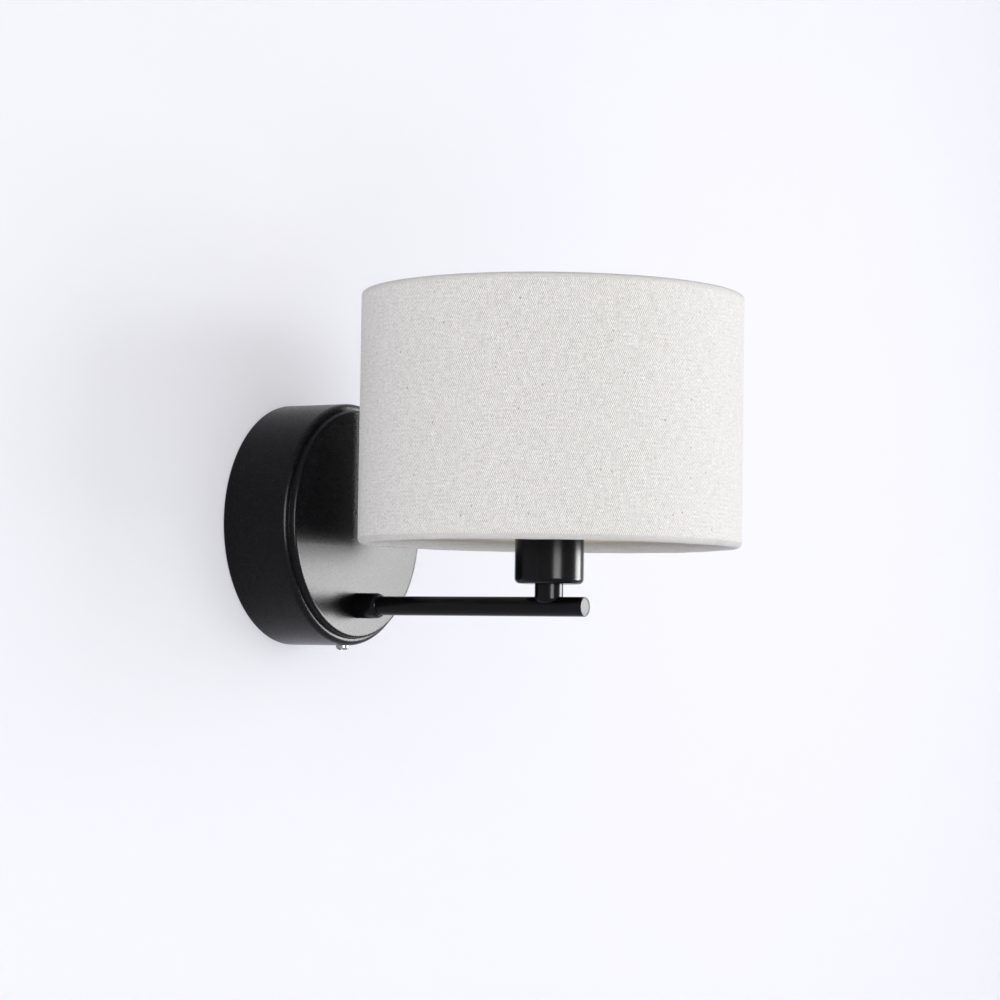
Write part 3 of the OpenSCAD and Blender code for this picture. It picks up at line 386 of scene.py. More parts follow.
def linen_cloth():
    """Plain weave: height = sin(pi u / pitch) sin(pi v / pitch), where u and v run round and up the cloth and
    the threads lie 0.5 mm apart, as coarse as the render needs to show them. Thick and thin threads come from
    noise drawn out along each thread, and rare dark flecks of flax from scattered cells."""
    pitch = 0.5
    FINISH["linen"], tree = empty_material("linen")
    place = add(tree, "ShaderNodeUVMap", uv_map="cloth")
    # The threads wander: noise 6 mm wide shifts them by up to 0.5 mm
    drift = add(tree, "ShaderNodeTexNoise", {"Vector": place, "Scale": per(6), "Detail": 2.0})
    sideways = {0: drift.outputs["Color"], "Scale": 0.5 * MM}
    shift = add(tree, "ShaderNodeVectorMath", sideways, operation="SCALE")
    waved = add(tree, "ShaderNodeVectorMath", [place, shift], operation="ADD")
    waves = []
    for way in add(tree, "ShaderNodeSeparateXYZ", [waved]).outputs[:2]:
        turn = add(tree, "ShaderNodeMath", [way, np.pi * per(pitch)], operation="MULTIPLY")
        waves.append(add(tree, "ShaderNodeMath", [turn], operation="SINE"))
    weave = add(tree, "ShaderNodeMath", waves, operation="MULTIPLY")
    weft = grain(tree, pitch, 2.0, (0.12, 1, 1), place)
    warp = grain(tree, pitch, 2.0, (1, 0.12, 1), place)
    threads = add(tree, "ShaderNodeMath", [weft, warp], operation="ADD")
    # Tone and height together: 1.6 speckle + 0.8 weave + the threads' thickness
    speckle = grain(tree, pitch, 1.0, place=place)
    drawn = add(tree, "ShaderNodeMath", [speckle, 1.6, threads], operation="MULTIPLY_ADD")
    tone = add(tree, "ShaderNodeMath", [weave, 0.8, drawn], operation="MULTIPLY_ADD")
    light = add(tree, "ShaderNodeMapRange", {"Value": tone, "From Min": 0.9, "From Max": 2.7})
    cloth = add(tree, "ShaderNodeMix", {"Factor": light, "A": "#a8a6a1", "B": "#efede9"}, data_type="RGBA")
    # Flecks up to 0.35 mm in radius, in a tenth of the cells of 3.2 mm
    cell = add(tree, "ShaderNodeMapping", {"Vector": place, "Scale": (0.6, 1, 1)})
    fleck = add(tree, "ShaderNodeTexVoronoi", {"Vector": cell, "Scale": per(3.2)}, voronoi_dimensions="2D")
    chance = add(tree, "ShaderNodeSeparateColor", [fleck.outputs["Color"]])
    rare = add(tree, "ShaderNodeMapRange", {"Value": chance, "From Min": 0.9, "From Max": 1, "To Max": 0.8})
    reach = {"From Min": 0.03, "From Max": 0.11, "To Min": 1, "To Max": 0}
    near = add(tree, "ShaderNodeMapRange", {"Value": fleck.outputs["Distance"], **reach})
    dark = add(tree, "ShaderNodeMath", [rare, near], operation="MULTIPLY")
    colour = add(tree, "ShaderNodeMix", {"Factor": dark, "A": cloth, "B": "#6f675e"}, data_type="RGBA")
    thick = {"From Min": 0.8, "From Max": 1.2, "To Min": 0.8, "To Max": 0.95}
    matt = add(tree, "ShaderNodeMapRange", {"Value": threads, **thick})
    sheen = {"Sheen_Weight": 0.1, "Sheen_Roughness": 0.5, "Specular_IOR_Level": 0.1}
    shaded(tree, colour, matt, tone, 0.11, 0.8, IOR=1.5, **sheen)


earth_insulation()
styrene_film()
linen_cloth()


def fitted(piece, finish, body, *nodes):
    """Gives a finished piece its material and its body, and hides the CAD nodes that it stands for."""
    piece.data.materials.clear()
    piece.data.materials.append(FINISH[finish])
    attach(piece, body)
    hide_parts(*nodes)


# ---- Canopy, collar and arm

# Drawn steel cup: raised disc, flat ring, side wall, and the same again 1.2 mm inside. Its corner and the
# disc's edge are rounder than the solid's
CORNER_ROUND, DISC_ROUND, FOOT_ROUND = 2.8, 1.8, 0.3
canopy_line = np.concatenate(
    [
        [(0, FACE_Y), (DISC_R - DISC_ROUND - 1, FACE_Y)],
        arc(DISC_R - DISC_ROUND, FACE_Y - DISC_ROUND, DISC_ROUND, 90, 0, 12),
        arc(DISC_R + FOOT_ROUND, CANOPY_DEPTH + FOOT_ROUND, FOOT_ROUND, 180, 270, 5),
        arc(CANOPY_R - CORNER_ROUND, CANOPY_DEPTH - CORNER_ROUND, CORNER_ROUND, 90, 0, 16),
        [(CANOPY_R, CANOPY_DEPTH - CORNER_ROUND - 1)],
        rounded([(CANOPY_R, 1), (CANOPY_R, 0), (CANOPY_R - SHEET, 0), (CANOPY_R - SHEET, 1)], 0.3),
        arc(CANOPY_R - CORNER_ROUND, CANOPY_DEPTH - CORNER_ROUND, CORNER_ROUND - SHEET, 0, 90, 8),
        rounded(
            [(DISC_R, CANOPY_DEPTH - SHEET), (DISC_R - SHEET, CANOPY_DEPTH - SHEET)]
            + [(DISC_R - SHEET, FACE_Y - SHEET), (0, FACE_Y - SHEET)],
            0.5,
        ),
    ]
)
# Holes on top for the locating stud, underneath for the canopy screw and in the disc for the collar's tail
STUD_Y, SCREW_Y, FIXING_HOLE_R, TAIL_HOLE_R = -10, -30.5, 2.2, 5.2
canopy = drilled(
    build("canopy", turned(canopy_line, (0, 0, 0), True, 256)),
    [
        rod((0, STUD_Y, 50), (0, STUD_Y, 65), FIXING_HOLE_R),
        rod((0, SCREW_Y, -50), (0, SCREW_Y, -65), FIXING_HOLE_R),
        rod((0, -FACE_Y + 6, ARM_Z), (0, -FACE_Y - 3, ARM_Z), TAIL_HOLE_R),
    ],
)
fitted(canopy, "black_powder_coat", "lamp", "canopy_shell")

# Turned collar: threaded tail through the canopy, plain barrel and a nose that is a quarter ellipse
nose_lip = 0.3
nose_r = COLLAR_R - ARM_R - nose_lip
nose_a = np.linspace(0, np.pi / 2, 12)
nose = np.stack(
    [COLLAR_R - nose_r + nose_r * np.cos(nose_a), FACE_Y + COLLAR_LEN - NOSE + NOSE * np.sin(nose_a)], -1
)
collar_line = np.concatenate(
    [
        rounded(
            [(BORE_R, SOCKET_Y), (BORE_R, FACE_Y - TAIL_LEN), (TAIL_R, FACE_Y - TAIL_LEN), (TAIL_R, FACE_Y)]
        ),
        rounded([(TAIL_R, FACE_Y), (COLLAR_R, FACE_Y), (COLLAR_R, nose[0, 1] - 0.5)])[1:],
        nose,
        [(ARM_R + SLIDE, FACE_Y + COLLAR_LEN - 0.2), (ARM_R + SLIDE, SOCKET_Y)],
    ]
)
collar_line = dense(collar_line, 0.25)
collar_thread = thread(FACE_Y - TAIL_LEN + 0.4, FACE_Y - 4, depth=0.35, pitch=1.0, crest=TAIL_R)
SET_SCREW_Y, SET_SCREW_HOLE_R = -FACE_Y - 7.5, 1.55
collar = drilled(
    build("collar", turned(collar_line, (0, 0, ARM_Z), True, 96, collar_thread), closed=True),
    [rod((0, SET_SCREW_Y, ARM_Z - 3.5), (0, SET_SCREW_Y, ARM_Z - 8), SET_SCREW_HOLE_R)],
)
fitted(collar, "black_coat_turned", "lamp", "arm_collar")

arm_line = rounded_ring(
    [(ARM_R, SOCKET_Y), (ARM_R, TUBE_END_Y), (ARM_BORE_R, TUBE_END_Y), (ARM_BORE_R, SOCKET_Y)], 0.12
)
arm = drilled(
    build("arm", turned(arm_line, (0, 0, ARM_Z), True, 96), closed=True),
    [rod((0, -REACH, ARM_Z), (0, -REACH, ARM_Z + 8), BORE_R)],
)
fitted(arm, "black_coat_turned", "lamp", "arm_tube")

# The plug fills the tube's end, and a narrow rim stands round its sawn face
PLUG_R, PLUG_LEN, RIM, RIM_DEPTH = ARM_BORE_R - SLIDE, 6, 0.75, 0.2
plug_line = rounded(
    [(0, ARM_END_Y - RIM_DEPTH), (ARM_R - RIM - 0.15, ARM_END_Y - RIM_DEPTH), (ARM_R - RIM, ARM_END_Y)]
    + [(ARM_R, ARM_END_Y), (ARM_R, TUBE_END_Y), (PLUG_R, TUBE_END_Y)]
    + [(PLUG_R, TUBE_END_Y - PLUG_LEN), (0, TUBE_END_Y - PLUG_LEN)],
    [0, 0.1, 0.1, 0.3, 0.12, 0.1, 0.4, 0],
)
plug = build("arm_end", turned(plug_line, (0, 0, ARM_Z), True, 96))
fitted(plug, "black_coat_sawn", "lamp", "arm_end_plug")

# ---- Stem and cup


def stem_grid(around=192):
    """A bored cylinder that saddles the arm. Its foot is z = STEM_LOW + q - sqrt(q^2 - (r - STEM_R + q)^2),
    a rounding of radius q, and the arm's seat is z = ARM_Z + sqrt(seat^2 - x^2). In each column the two cross
    at the radius where the seat is last above the foot, and that crossing is a row of its own. The wall above
    is rows of a radius and a share of the way up to the top, where a wider hole takes the nipple."""
    t = turns(around)
    seat, q, nipple_r = ARM_R + SLIDE, STEM_ROUND, 5.0

    def foot(r):
        return STEM_LOW + q - np.sqrt(np.clip(q**2 - np.clip(r - STEM_R + q, 0, q) ** 2, 0, None))

    def saddle(r):
        x = np.abs(r * np.cos(t))
        return np.where(x < seat, ARM_Z + np.sqrt(np.clip(seat**2 - x**2, 0, None)), -np.inf)

    tries = np.linspace(BORE_R, STEM_R, 4000)[:, None] * np.ones(around)
    meet = np.where(saddle(tries) >= foot(tries), tries, BORE_R).max(0)
    share = np.linspace(0, 1, 8)[:, None]
    under = BORE_R + (meet - BORE_R) * share
    turn = np.arcsin(np.clip((meet - STEM_R + q) / q, 0, 1))
    out = STEM_R - q + q * np.sin(turn + (np.pi / 2 - turn) * share)
    radius = np.concatenate([under, np.maximum(out, meet)])
    height = np.maximum(np.concatenate([saddle(under), foot(np.maximum(out, meet))]), saddle(radius))
    low = height[-1]
    wall = [(STEM_R, 0.05), (STEM_R, 0.9), (STEM_R, 0.975), (STEM_R - 0.12, 1)]
    wall += [(nipple_r, 1), (nipple_r, 0.55), (BORE_R, 0.55)]
    radius = np.concatenate([radius, [np.full(around, r) for r, _ in wall]])
    height = np.concatenate([height, [low + (STEM_TOP - low) * up for _, up in wall]])
    return np.stack([radius * np.cos(t), radius * np.sin(t), height], -1) + AXIS


stem = build("stem", stem_grid(), sharp=30, closed=True)
fitted(stem, "black_coat_turned", "lamp", "stem")

cup_bore, cup_hole, inner_round = CUP_R - CUP_WALL, 5.15, 1.5
cup_line = np.concatenate(
    [
        rounded([(cup_hole, STEM_TOP + CUP_WALL), (cup_hole, STEM_TOP), (CUP_R - CUP_ROUND, STEM_TOP)], 0.2),
        arc(CUP_R - CUP_ROUND, STEM_TOP + CUP_ROUND, CUP_ROUND, -90, 0, 12),
        rounded(
            [(CUP_R, STEM_TOP + 3), (CUP_R, CUP_TOP), (cup_bore, CUP_TOP), (cup_bore, STEM_TOP + 3)], 0.3
        ),
        arc(cup_bore - inner_round, STEM_TOP + CUP_WALL + inner_round, inner_round, 0, -90, 8),
    ]
)
cup = build("cup", turned(cup_line, around=160), closed=True)
fitted(cup, "black_coat_turned", "lamp", "holder_cup")

# ---- Lampholder's threaded skirt and the ring that clamps the shade

# Moulded tube with a flange on the cup's rim, an outside thread above it and a lip at the top
skirt_low, skirt_bore = CUP_TOP - 17.5, SKIRT_R - 1.3
lip_r, lip_low = 9.8, SKIRT_TOP - 3
skirt_line = rounded_ring(
    [(skirt_bore, skirt_low), (SKIRT_R, skirt_low), (SKIRT_R, CUP_TOP), (FLANGE_R, CUP_TOP)]
    + [(FLANGE_R, FLANGE_TOP), (SKIRT_R, FLANGE_TOP), (SKIRT_R, SKIRT_TOP), (lip_r, SKIRT_TOP)]
    + [(lip_r, lip_low), (skirt_bore, lip_low)],
    0.3,
    4,
)
skirt_line = dense(np.concatenate([skirt_line, skirt_line[:1]]), 0.35)[:-1]
skirt_thread = thread(FLANGE_TOP + 0.6, SKIRT_TOP - 0.8, depth=0.7, pitch=2.5, crest=SKIRT_R)
skirt = build("holder_skirt_turned", turned(skirt_line, around=128, threads=skirt_thread), closed=True)
fitted(skirt, "holder_plastic", "lamp", "holder_skirt")

# Moulded ring: a rim that presses on the fitter plate, and a ribbed grip above it
ring_bore, ring_r, rim_r = 14.3, 16.5, 19
ring_low, grip_low = FLANGE_TOP + 1, FLANGE_TOP + 3.2
rim_top, ring_top = ring_low + 2, ring_low + 8


def ribs(r, h, t):
    """Twenty-four grip ribs: above the rim the outside swells by 0.7 ((cos 24 t - 0.2) / 0.8)^0.6, where
    that is above 0."""
    outside = (r > ring_r - 0.3) & (r < ring_r + 0.5) & (h > grip_low)
    return np.where(outside, r + 0.7 * np.clip((np.cos(24 * t) - 0.2) / 0.8, 0, 1) ** 0.6, r)


ring_line = rounded_ring(
    [(ring_bore, ring_low), (rim_r, ring_low), (rim_r, rim_top), (ring_r, rim_top)]
    + [(ring_r, ring_top), (ring_bore, ring_top)],
    [0.3, 0.3, 0.3, 0.2, 0.3, 0.3],
)
shade_ring = build("shade_ring_ribbed", turned(ring_line, around=480, threads=ribs), closed=True, sharp=50)
fitted(shade_ring, "holder_plastic", "shade_ring", "shade_ring")

# ---- Shade: fitter ring, spokes, hoops, lining and linen

# The plate lies on the flange and under the ring, 0.03 mm clear of each, so that it can turn
plate_low, plate_top, plate_bore, plate_r = FLANGE_TOP + 0.03, FLANGE_TOP + 0.97, 14.6, 21
fitter_line = rounded_ring(
    [(plate_bore, plate_low), (plate_r, plate_low), (plate_r, plate_top), (plate_bore, plate_top)], 0.25
)
fitter = build("fitter_plate", turned(fitter_line, around=128), closed=True)
fitted(fitter, "white_frame_coat", "shade", "fitter_ring")

SPOKE_AT = np.radians([270, 30, 150])


def spoke(angle):
    """A straight wire from the low hoop to the fitter ring, of the hoops' radius, swelling towards the weld
    at each end by weld_high exp(-(d / weld_wide)^2), with d the way from that end."""
    sunk, weld_high, weld_wide = 0.4, 0.35, 1.1
    out = np.array([HOOP_R - WIRE_R + sunk, LOW_HOOP])
    into = np.array([plate_r - sunk, FLANGE_TOP + 0.5])
    s = np.concatenate([np.linspace(0, 0.06, 14), np.linspace(0.1, 0.9, 9), np.linspace(0.94, 1, 14)])
    line = out + (into - out) * s[:, None]
    length = np.linalg.norm(into - out)
    weld = np.exp(-((s * length / weld_wide) ** 2)) + np.exp(-(((1 - s) * length / weld_wide) ** 2))
    path = np.stack([line[:, 0] * np.cos(angle), line[:, 0] * np.sin(angle), line[:, 1]], -1) + AXIS
    return swept(path, WIRE_R + weld_high * weld, (0, 0, 1), 24)


spokes = build("spoke_wires", [spoke(a) for a in SPOKE_AT])
fitted(spokes, "white_frame_coat", "shade", "spokes")

for label, height in (("lower_hoop", LOW_HOOP), ("upper_hoop", TOP_HOOP)):
    hoop = build(label + "_wire", turned(arc(HOOP_R, height, WIRE_R, 0, 345, 23), around=256), closed=True)
    fitted(hoop, "white_frame_coat", "shade", label)

liner_r = SHADE_R - LINEN
liner_line = rounded_ring(
    [(liner_r, LOW_HOOP), (liner_r, TOP_HOOP), (liner_r - LINER, TOP_HOOP), (liner_r - LINER, LOW_HOOP)], 0.15
)
liner = build("styrene_liner", turned(liner_line, around=256), closed=True)
fitted(liner, "lining_film", "shade", "shade_liner")


def wander(t, seed, counts=(3, 5, 8, 13, 21, 34)):
    """A smooth wandering line round the shade, from about -1 to 1: the sum of sin(n t + phase) / n^0.35 over
    1.6, with seeded phases."""
    phases = np.random.default_rng(seed).uniform(0, TAU, len(counts))
    waves = [np.sin(n * t + p) / n**0.35 for n, p in zip(counts, phases)]
    return np.sum(waves, axis=0) / 1.6


def linen_grid(around=576, wall_rows=16, roll_rows=14):
    """The cloth's middle line climbs from inside the low hoop, round it, straight up the wall and round the
    top hoop: (HOOP_R + q cos a, hoop height + q sin a), with q half the cloth inside the roll's outside. The
    fold at the top is crisper: there the square roots of cos a and sin a stand for them. The two faces lie
    half the cloth's thickness to each side. Where it is lapped at the back the outer face stands 0.3 mm
    further out, and the low roll ends early where a spoke passes."""
    seam, lap_wide, lap_ramp, lap_high = np.radians(97.5), 11, 0.25, 0.3
    # Degrees round the hoops to the cut edges, and how far these wander
    full_roll, spoke_roll, wobble = 245, 150, 6
    t = turns(around)
    away = np.abs((t[None, :] - SPOKE_AT[:, None] + np.pi) % TAU - np.pi).min(0)
    notch = np.clip((away - 0.03) / 0.02, 0, 1)
    low_end = np.radians(spoke_roll + (full_roll - spoke_roll) * notch + wobble * wander(t, 4))
    top_end = np.radians(full_roll + wobble * wander(t, 5))
    q = ROLL_R - LINEN / 2
    s = np.linspace(0, 1, roll_rows)[:, None]
    low_angle = -low_end * (1 - s)
    top_angle = top_end * s
    # The lower edge isn't quite straight: it wanders by 0.14 mm
    wave = 0.28 * wander(t, 11)
    low_r = HOOP_R + q * np.cos(low_angle)
    low_z = LOW_HOOP + q * np.sin(low_angle) - wave * np.clip(-np.sin(low_angle), 0, 1) * 0.5
    wall = np.linspace(0, 1, wall_rows + 2)[1:-1, None]
    wall_z = LOW_HOOP + (TOP_HOOP - LOW_HOOP) * wall + 0 * t
    wall_r = HOOP_R + q + 0 * wall_z
    square = np.where(top_angle < np.pi / 2, 0.5, 1)
    top_r = HOOP_R + q * np.sign(np.cos(top_angle)) * np.abs(np.cos(top_angle)) ** square
    top_z = TOP_HOOP + q * np.sign(np.sin(top_angle)) * np.abs(np.sin(top_angle)) ** square
    r = np.concatenate([low_r, wall_r, top_r])
    z = np.concatenate([low_z, wall_z, top_z])
    turn = np.concatenate([low_angle, 0 * wall_z, top_angle])
    lap = 1 / (1 + np.exp(-((t - seam) * SHADE_R) / lap_ramp)) * (t < seam + lap_wide / SHADE_R)
    out = LINEN / 2 + lap_high * lap * np.ones_like(turn)
    outer = np.stack([r + out * np.cos(turn), z + out * np.sin(turn)], -1)
    inner = np.stack([r - LINEN / 2 * np.cos(turn), z - LINEN / 2 * np.sin(turn)], -1)
    profile = np.concatenate([outer, inner[::-1]])
    return np.stack([profile[..., 0] * np.cos(t), profile[..., 0] * np.sin(t), profile[..., 1]], -1) + AXIS


def cloth_map(rows, columns):
    """In metres: u is the way round the shade and v the way up the cloth, down again on its inner face."""
    cloth_high = 0.135
    u = np.linspace(0, TAU * SHADE_R * MM, columns + 1)
    climb = np.linspace(0, cloth_high, rows // 2)
    v = np.concatenate([climb, climb[::-1], climb[:1]])
    return np.stack(np.meshgrid(u, v), -1)


linen = build("linen_cover", linen_grid(), sharp=70, closed=True, uv=cloth_map)
fitted(linen, "linen", "shade", "shade_linen")

# ---- Light bulb

TIP_Z, CAP_Z = box_mm("bulb_tip")[0][2], box_mm("bulb_cap")[0][2]
CAP_TOP = box_mm("bulb_cap")[1][2]
GLOBE_R, NECK_R, GLASS = 22.5, 7.9, 0.8
GLOBE_Z = box_mm("bulb_globe")[1][2] - GLOBE_R
# The small screw cap: its contact, insulator, thread, sleeve and inside
TIP_H, BUTTON_R, CREST_R, PITCH, SLEEVE_R, CAP_BORE_R = 1.2, 5.75, 6.95, 2.82, 8.5, 6.15

tip_line = rounded([(0, TIP_Z), (1.6, TIP_Z + 0.05), (2.6, TIP_Z + TIP_H), (0, TIP_Z + TIP_H)], 0.5)
fitted(build("bulb_solder", turned(tip_line, around=48)), "solder", "bulb_contact", "bulb_tip")

insulator_line = rounded(
    [(0, TIP_Z + TIP_H), (2.9, TIP_Z + TIP_H), (BUTTON_R, CAP_Z - 0.6), (BUTTON_R, CAP_Z), (0, CAP_Z)], 0.4
)
fitted(build("bulb_vitrite", turned(insulator_line, around=64)), "black_glass", "bulb", "bulb_insulator")

cap_line = np.concatenate(
    [
        [(0, CAP_Z), (5.8, CAP_Z), (6.45, CAP_Z + 1.2)],
        np.stack([np.full(60, CREST_R), np.linspace(CAP_Z + 1.3, CAP_TOP - 5.1, 60)], -1),
        rounded([(6.6, CAP_TOP - 5), (SLEEVE_R, CAP_TOP - 2.5), (SLEEVE_R, CAP_TOP), (8.2, CAP_TOP)], 0.4),
        [(8.2, CAP_TOP - 2.2), (CAP_BORE_R, CAP_TOP - 4.7), (CAP_BORE_R, CAP_Z + 1), (0, CAP_Z + 1)],
    ]
)
cap_thread = thread(CAP_Z + 1.0, CAP_TOP - 4.9, depth=0.5, pitch=PITCH, crest=CREST_R)
cap = build("bulb_cap_rolled", turned(cap_line, around=96, threads=cap_thread))
fitted(cap, "nickel_cap", "bulb", "bulb_cap")


def globe_line(t):
    """Neck that opens as a square law up to the ball, then the ball's own circle; drawn inwards by t."""
    low = np.radians(-52)
    u = np.linspace(0, 1, 24)
    neck_r = NECK_R - t + (GLOBE_R * np.cos(low) - NECK_R) * u**2
    neck_z = CAP_TOP + (GLOBE_Z + GLOBE_R * np.sin(low) - CAP_TOP) * u
    a = np.linspace(low, np.pi / 2, 64)[1:]
    ball = np.stack([(GLOBE_R - t) * np.cos(a), GLOBE_Z + (GLOBE_R - t) * np.sin(a)], -1)
    return np.concatenate([[(NECK_R - t, CAP_TOP - 2)], np.stack([neck_r, neck_z], -1), ball])


globe_profile = np.concatenate([globe_line(GLASS)[::-1], globe_line(0)])
fitted(build("bulb_glass", turned(globe_profile, around=128), sharp=60), "clear_glass", "bulb", "bulb_globe")

# ---- Wires inside the canopy, the arm and the lampholder

# Radius over the insulation, and how far each wire lies from the middle of the arm
WIRE_OVER, WIRE_X = 1.1, 1.25


def lamp_wire(side):
    """Route of the live wire (side -1) or the neutral one (side 1), through the same points as its solid."""
    canopy_part = [(9, -8, 18.4), (9, -8, 11), (9.9, -10.12, -1.8), (9, -15.84, -19.72)]
    canopy_part += [(4.95, -19.24, -30.98), (2, -23.69, ARM_Z + 1.1), (WIRE_X, TAIL_LEN - FACE_Y, ARM_Z)]
    arm_part = [(WIRE_X, y, ARM_Z) for y in np.linspace(-SOCKET_Y - 2.2, -REACH + 9.4, 6)]
    stem_part = [(WIRE_X, -REACH + 4.7, ARM_Z - 0.61), (WIRE_X, -REACH + 1.6, ARM_Z)]
    stem_part += [(WIRE_X, -REACH + 0.28, ARM_Z + 2.02), (WIRE_X, -REACH, ARM_Z + 4.51)]
    stem_part += [(WIRE_X, -REACH, STEM_TOP), (WIRE_X, -REACH, -22.1)]
    base_part = [(2.25, -REACH, -19.11), (5.12, -REACH, -15.88), (5.5, -REACH, -13.75), (5.5, -REACH, -9.9)]
    return np.array(canopy_part + arm_part + stem_part + base_part) * (side, 1, 1)


def wire_map(rows, columns):
    """u runs once round the wire and v along it."""
    return np.stack(np.meshgrid(np.linspace(0, 1, columns + 1), np.linspace(0, 1, rows + 1)), -1)


def insulated(name, route, towards, finish, node):
    """A wire of 2.2 mm over its insulation along a smooth route."""
    wire = build(name, swept(smooth_path(route), WIRE_OVER, towards), uv=wire_map)
    fitted(wire, finish, "lamp", node)


insulated("live_lead", lamp_wire(-1), (1, 0, 0), "wire_brown", "live_wire")
insulated("neutral_lead", lamp_wire(1), (1, 0, 0), "wire_blue", "neutral_wire")
block_earth = [(0, -8, 18.4), (0, -8, 11), (0, -6.99, 4), (0, -4.03, -4.04)]
block_earth += [(0, -3.75, -6.98), (0, -3.75, -10.2)]
insulated("block_earth_lead", block_earth, (1, 0, 0), "wire_green_yellow", "block_earth_wire")
arm_earth = [(5.8, -4.45, -16), (8.6, -4.45, -16), (10, -4.45, -16), (13.02, -7.99, -17.01)]
arm_earth += [(14, -17, -17.96), (8.96, -27.03, -17.01), (1.96, -35.55, -19.04), (0, -35.55, -23.24)]
arm_earth += [(0, -35.55, -25.76), (0, -35.55, -29.4)]
insulated("arm_earth_lead", arm_earth, (0.25, 0.2, 0.95), "wire_green_yellow", "arm_earth_wire")

# ---- The CAD nodes that stay take their finish from their slot

SLOT_OF = {
    "wall_bracket": "zinc_plated_steel",
    "locating_stud": "zinc_plated_steel",
    "canopy_screw": "chromed_steel",
    "terminal_block": "nylon_white",
    "terminal_inserts": "brass",
    "terminal_screws": "zinc_plated_steel",
    "block_screw": "zinc_plated_steel",
    "earth_screw": "brass",
    "earth_lugs": "zinc_plated_steel",
    "earth_tag": "zinc_plated_steel",
    "lock_washer": "zinc_plated_steel",
    "lock_nut": "zinc_plated_steel",
    "set_screw": "blackened_steel",
    "threaded_nipple": "zinc_plated_steel",
    "cup_nut": "zinc_plated_steel",
    "holder_base": "holder_plastic",
    "holder_insert": "holder_plastic",
    "screw_shell": "brass",
    "centre_contact": "brass",
    "shell_contact": "brass",
    "bulb_mount": "clear_glass",
    "filaments": "filament_coat",
}
for node_name, slot_name in SLOT_OF.items():
    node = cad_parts[node_name]
    node.data.materials.clear()
    node.data.materials.append(FINISH[slot_name])

# ---- Stage: wall, floor, light cards and lamps


def flat_stage(name, corners, finish):
    """One quad through four corners, in metres, that isn't part of the object."""
    mesh = bpy.data.meshes.new(name)
    mesh.from_pydata(corners, [], [(0, 1, 2, 3)])
    mesh.materials.append(finish)
    quad = bpy.data.objects.new(name, mesh)
    bpy.context.scene.collection.objects.link(quad)


def looked_at(tree):
    """1 for what the camera sees straight, mirrored or through glass, and 0 for light between surfaces."""
    path = add(tree, "ShaderNodeLightPath").outputs
    seen = path["Is Camera Ray"]
    for kind in ("Is Glossy Ray", "Is Transmission Ray"):
        seen = add(tree, "ShaderNodeMath", [seen, path[kind]], operation="MAXIMUM")
    return seen


def pale_plaster(name, shown):
    """Pale matt plaster that takes 0.4 of its shown colour from a glow that only the camera sees, so that it
    keeps the object's shadow. It is see-through from behind, so that the lamp's back can be looked at."""
    glow_share = 0.4
    new, tree = empty_material(name)
    matt = {"Base Color": "#dedee3", "Roughness": 0.9, "Specular IOR Level": 0.2}
    plaster = add(tree, "ShaderNodeBsdfPrincipled", matt)
    glow = add(tree, "ShaderNodeEmission", {"Color": shown, "Strength": 1.0})
    seen = add(tree, "ShaderNodeMath", [looked_at(tree), glow_share], operation="MULTIPLY")
    front = add(tree, "ShaderNodeMixShader", [seen, plaster, glow])
    back = add(tree, "ShaderNodeBsdfTransparent")
    behind = add(tree, "ShaderNodeNewGeometry").outputs["Backfacing"]
    both = add(tree, "ShaderNodeMixShader", [behind, front, back])
    add(tree, "ShaderNodeOutputMaterial", {"Surface": both})
    return new


# In metres: the wall 0.6 mm behind the lamp's back, and the floor well under it
WALL_Y, FLOOR_Z, WALL_TOP, HALF = 0.0006, -0.6, 3, 4
flat_stage(
    "wall",
    [(-HALF, WALL_Y, FLOOR_Z), (HALF, WALL_Y, FLOOR_Z), (HALF, WALL_Y, WALL_TOP), (-HALF, WALL_Y, WALL_TOP)],
    pale_plaster("wall_plaster", "#f4f4fa"),
)
flat_stage(
    "floor",
    [(-HALF, -HALF, FLOOR_Z), (HALF, -HALF, FLOOR_Z), (HALF, HALF, FLOOR_Z), (-HALF, HALF, FLOOR_Z)],
    pale_plaster("floor_plaster", "#f4f4f9"),
)

# The point that the lights and the camera look at
TARGET = np.array([0, -0.1, 0])


def facing(place):
    """A turn and a place from which -Z looks at the target."""
    away = np.array(place, float) - TARGET
    back = away / np.linalg.norm(away)
    side = np.cross((0, 0, 1), back)
    side /= np.linalg.norm(side)
    turn = np.eye(4)
    turn[:3, :3] = np.stack([side, np.cross(back, side), back], 1)
    turn[:3, 3] = place
    return Matrix(turn.tolist())


def panel(name, place, width, height, power, reflected_only=False, tint="#ffffff"):
    """A soft rectangular light of so many watts. One that is only reflected gives matt surfaces no light, and
    the others don't show in reflections."""
    data = bpy.data.lights.new(name, "AREA")
    data.color = linear(tint)[:3]
    data.shape, data.size, data.size_y, data.energy = "RECTANGLE", width, height, power
    light = bpy.data.objects.new(name, data)
    light.matrix_world = facing(place)
    bpy.context.scene.collection.objects.link(light)
    light.visible_camera = False
    light.visible_diffuse = not reflected_only
    light.visible_glossy = reflected_only
    light.visible_transmission = reflected_only


panel("key", (0.95, -1.5, 0.15), 1.0, 1.0, 15.3, tint="#fafaff")
panel("front_fill", (-0.45, -1.7, 0.3), 1.0, 1.0, 2.0)
panel("fill", (-1.3, -0.9, 0.5), 1.2, 1.2, 4.4)
panel("side_fill", (-1.5, -0.35, 0.2), 0.8, 1.2, 2.6)
panel("low_fill", (-0.8, -0.9, -0.55), 0.8, 0.8, 5.5)
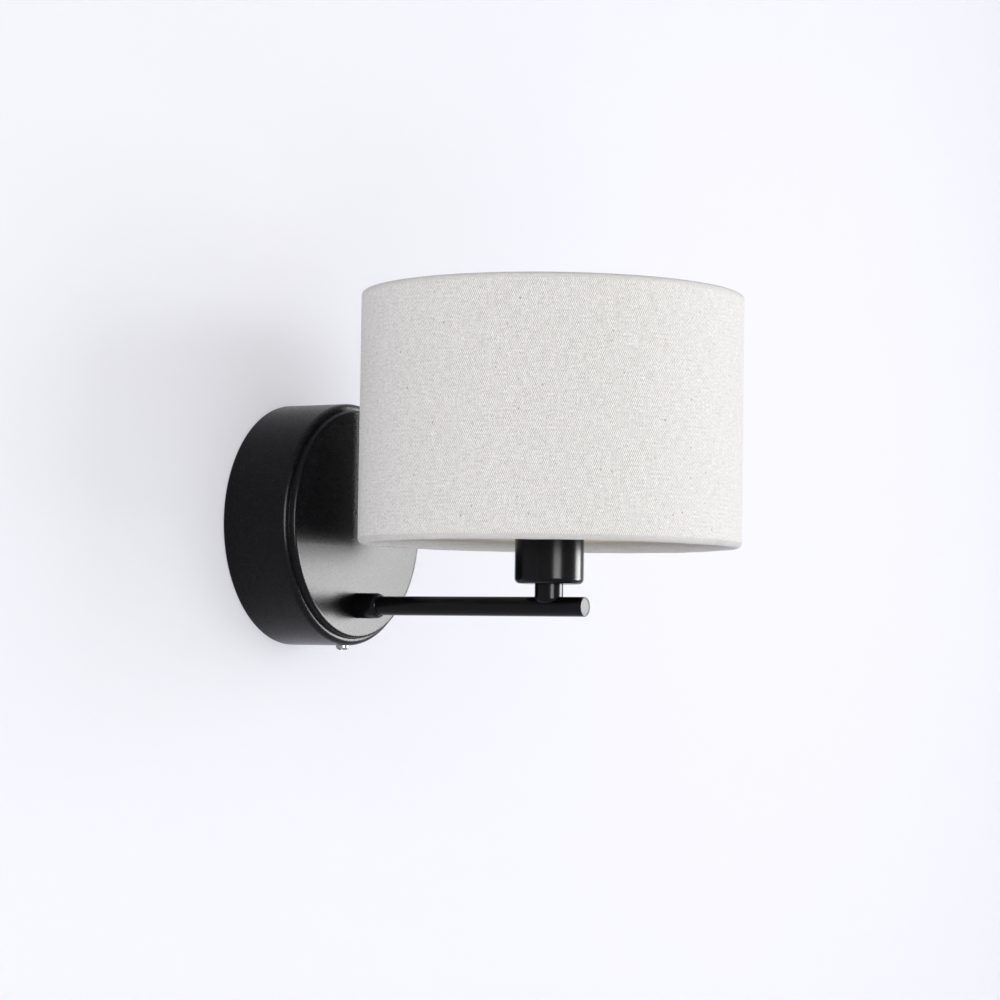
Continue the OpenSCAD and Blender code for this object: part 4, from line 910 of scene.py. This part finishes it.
# Two cards that only glossy surfaces see. Their power is brightness x pi x area
for card, place, width, height, brightness in (
    ("bright_card", (1.0, -0.94, 0.22), 0.6, 1.36, 30),
    ("strip_card", (-0.82, -1.36, 0.1), 0.6, 0.7, 22),
):
    panel(card, place, width, height, brightness * np.pi * width * height, reflected_only=True)

# Matt surfaces get a dim even light from all round, and what is seen or mirrored there is white paper
world = bpy.data.worlds.new("studio")
bpy.context.scene.world = world
world.use_nodes = True
sky = world.node_tree
sky.nodes.clear()
soft = add(sky, "ShaderNodeBackground", {"Color": "#f6f6f6", "Strength": 0.62})
paper = add(sky, "ShaderNodeBackground", {"Color": "#f2f2f6", "Strength": 1.0})
shown = add(sky, "ShaderNodeMixShader", [looked_at(sky), soft, paper])
add(sky, "ShaderNodeOutputWorld", {"Surface": shown})

# ---- Camera: left of the lamp and a little below it, 1.4 m off, as in the photograph

DISTANCE, AZIMUTH, ELEVATION, ROLL = 1.4, -59.41, -2.98, 0.83
# In pixels of the square frame: its width, the focal length, and how far from its middle the target lies
FRAME, FOCAL, TARGET_RIGHT, TARGET_UP = 1000, 2882.79, -36.16, -23.37
a, e, r = np.radians([AZIMUTH, ELEVATION, ROLL])
back = np.array([np.sin(a) * np.cos(e), -np.cos(a) * np.cos(e), np.sin(e)])
level = np.cross(-back, (0, 0, 1))
level /= np.linalg.norm(level)
upright = np.cross(level, -back)
right = np.cos(r) * level + np.sin(r) * upright
up = -np.sin(r) * level + np.cos(r) * upright
off = (TARGET_RIGHT * right + TARGET_UP * up) * DISTANCE / FOCAL
pose = np.eye(4)
pose[:3, :3] = np.stack([right, up, back], 1)
pose[:3, 3] = TARGET + back * DISTANCE - off
lens = bpy.data.cameras.new("camera")
lens.sensor_width = 36
lens.lens = FOCAL * lens.sensor_width / FRAME
camera = bpy.data.objects.new("camera", lens)
camera.matrix_world = Matrix(pose.tolist())
bpy.context.scene.collection.objects.link(camera)
bpy.context.scene.camera = camera
bpy.context.scene.view_settings.view_transform = "Standard"
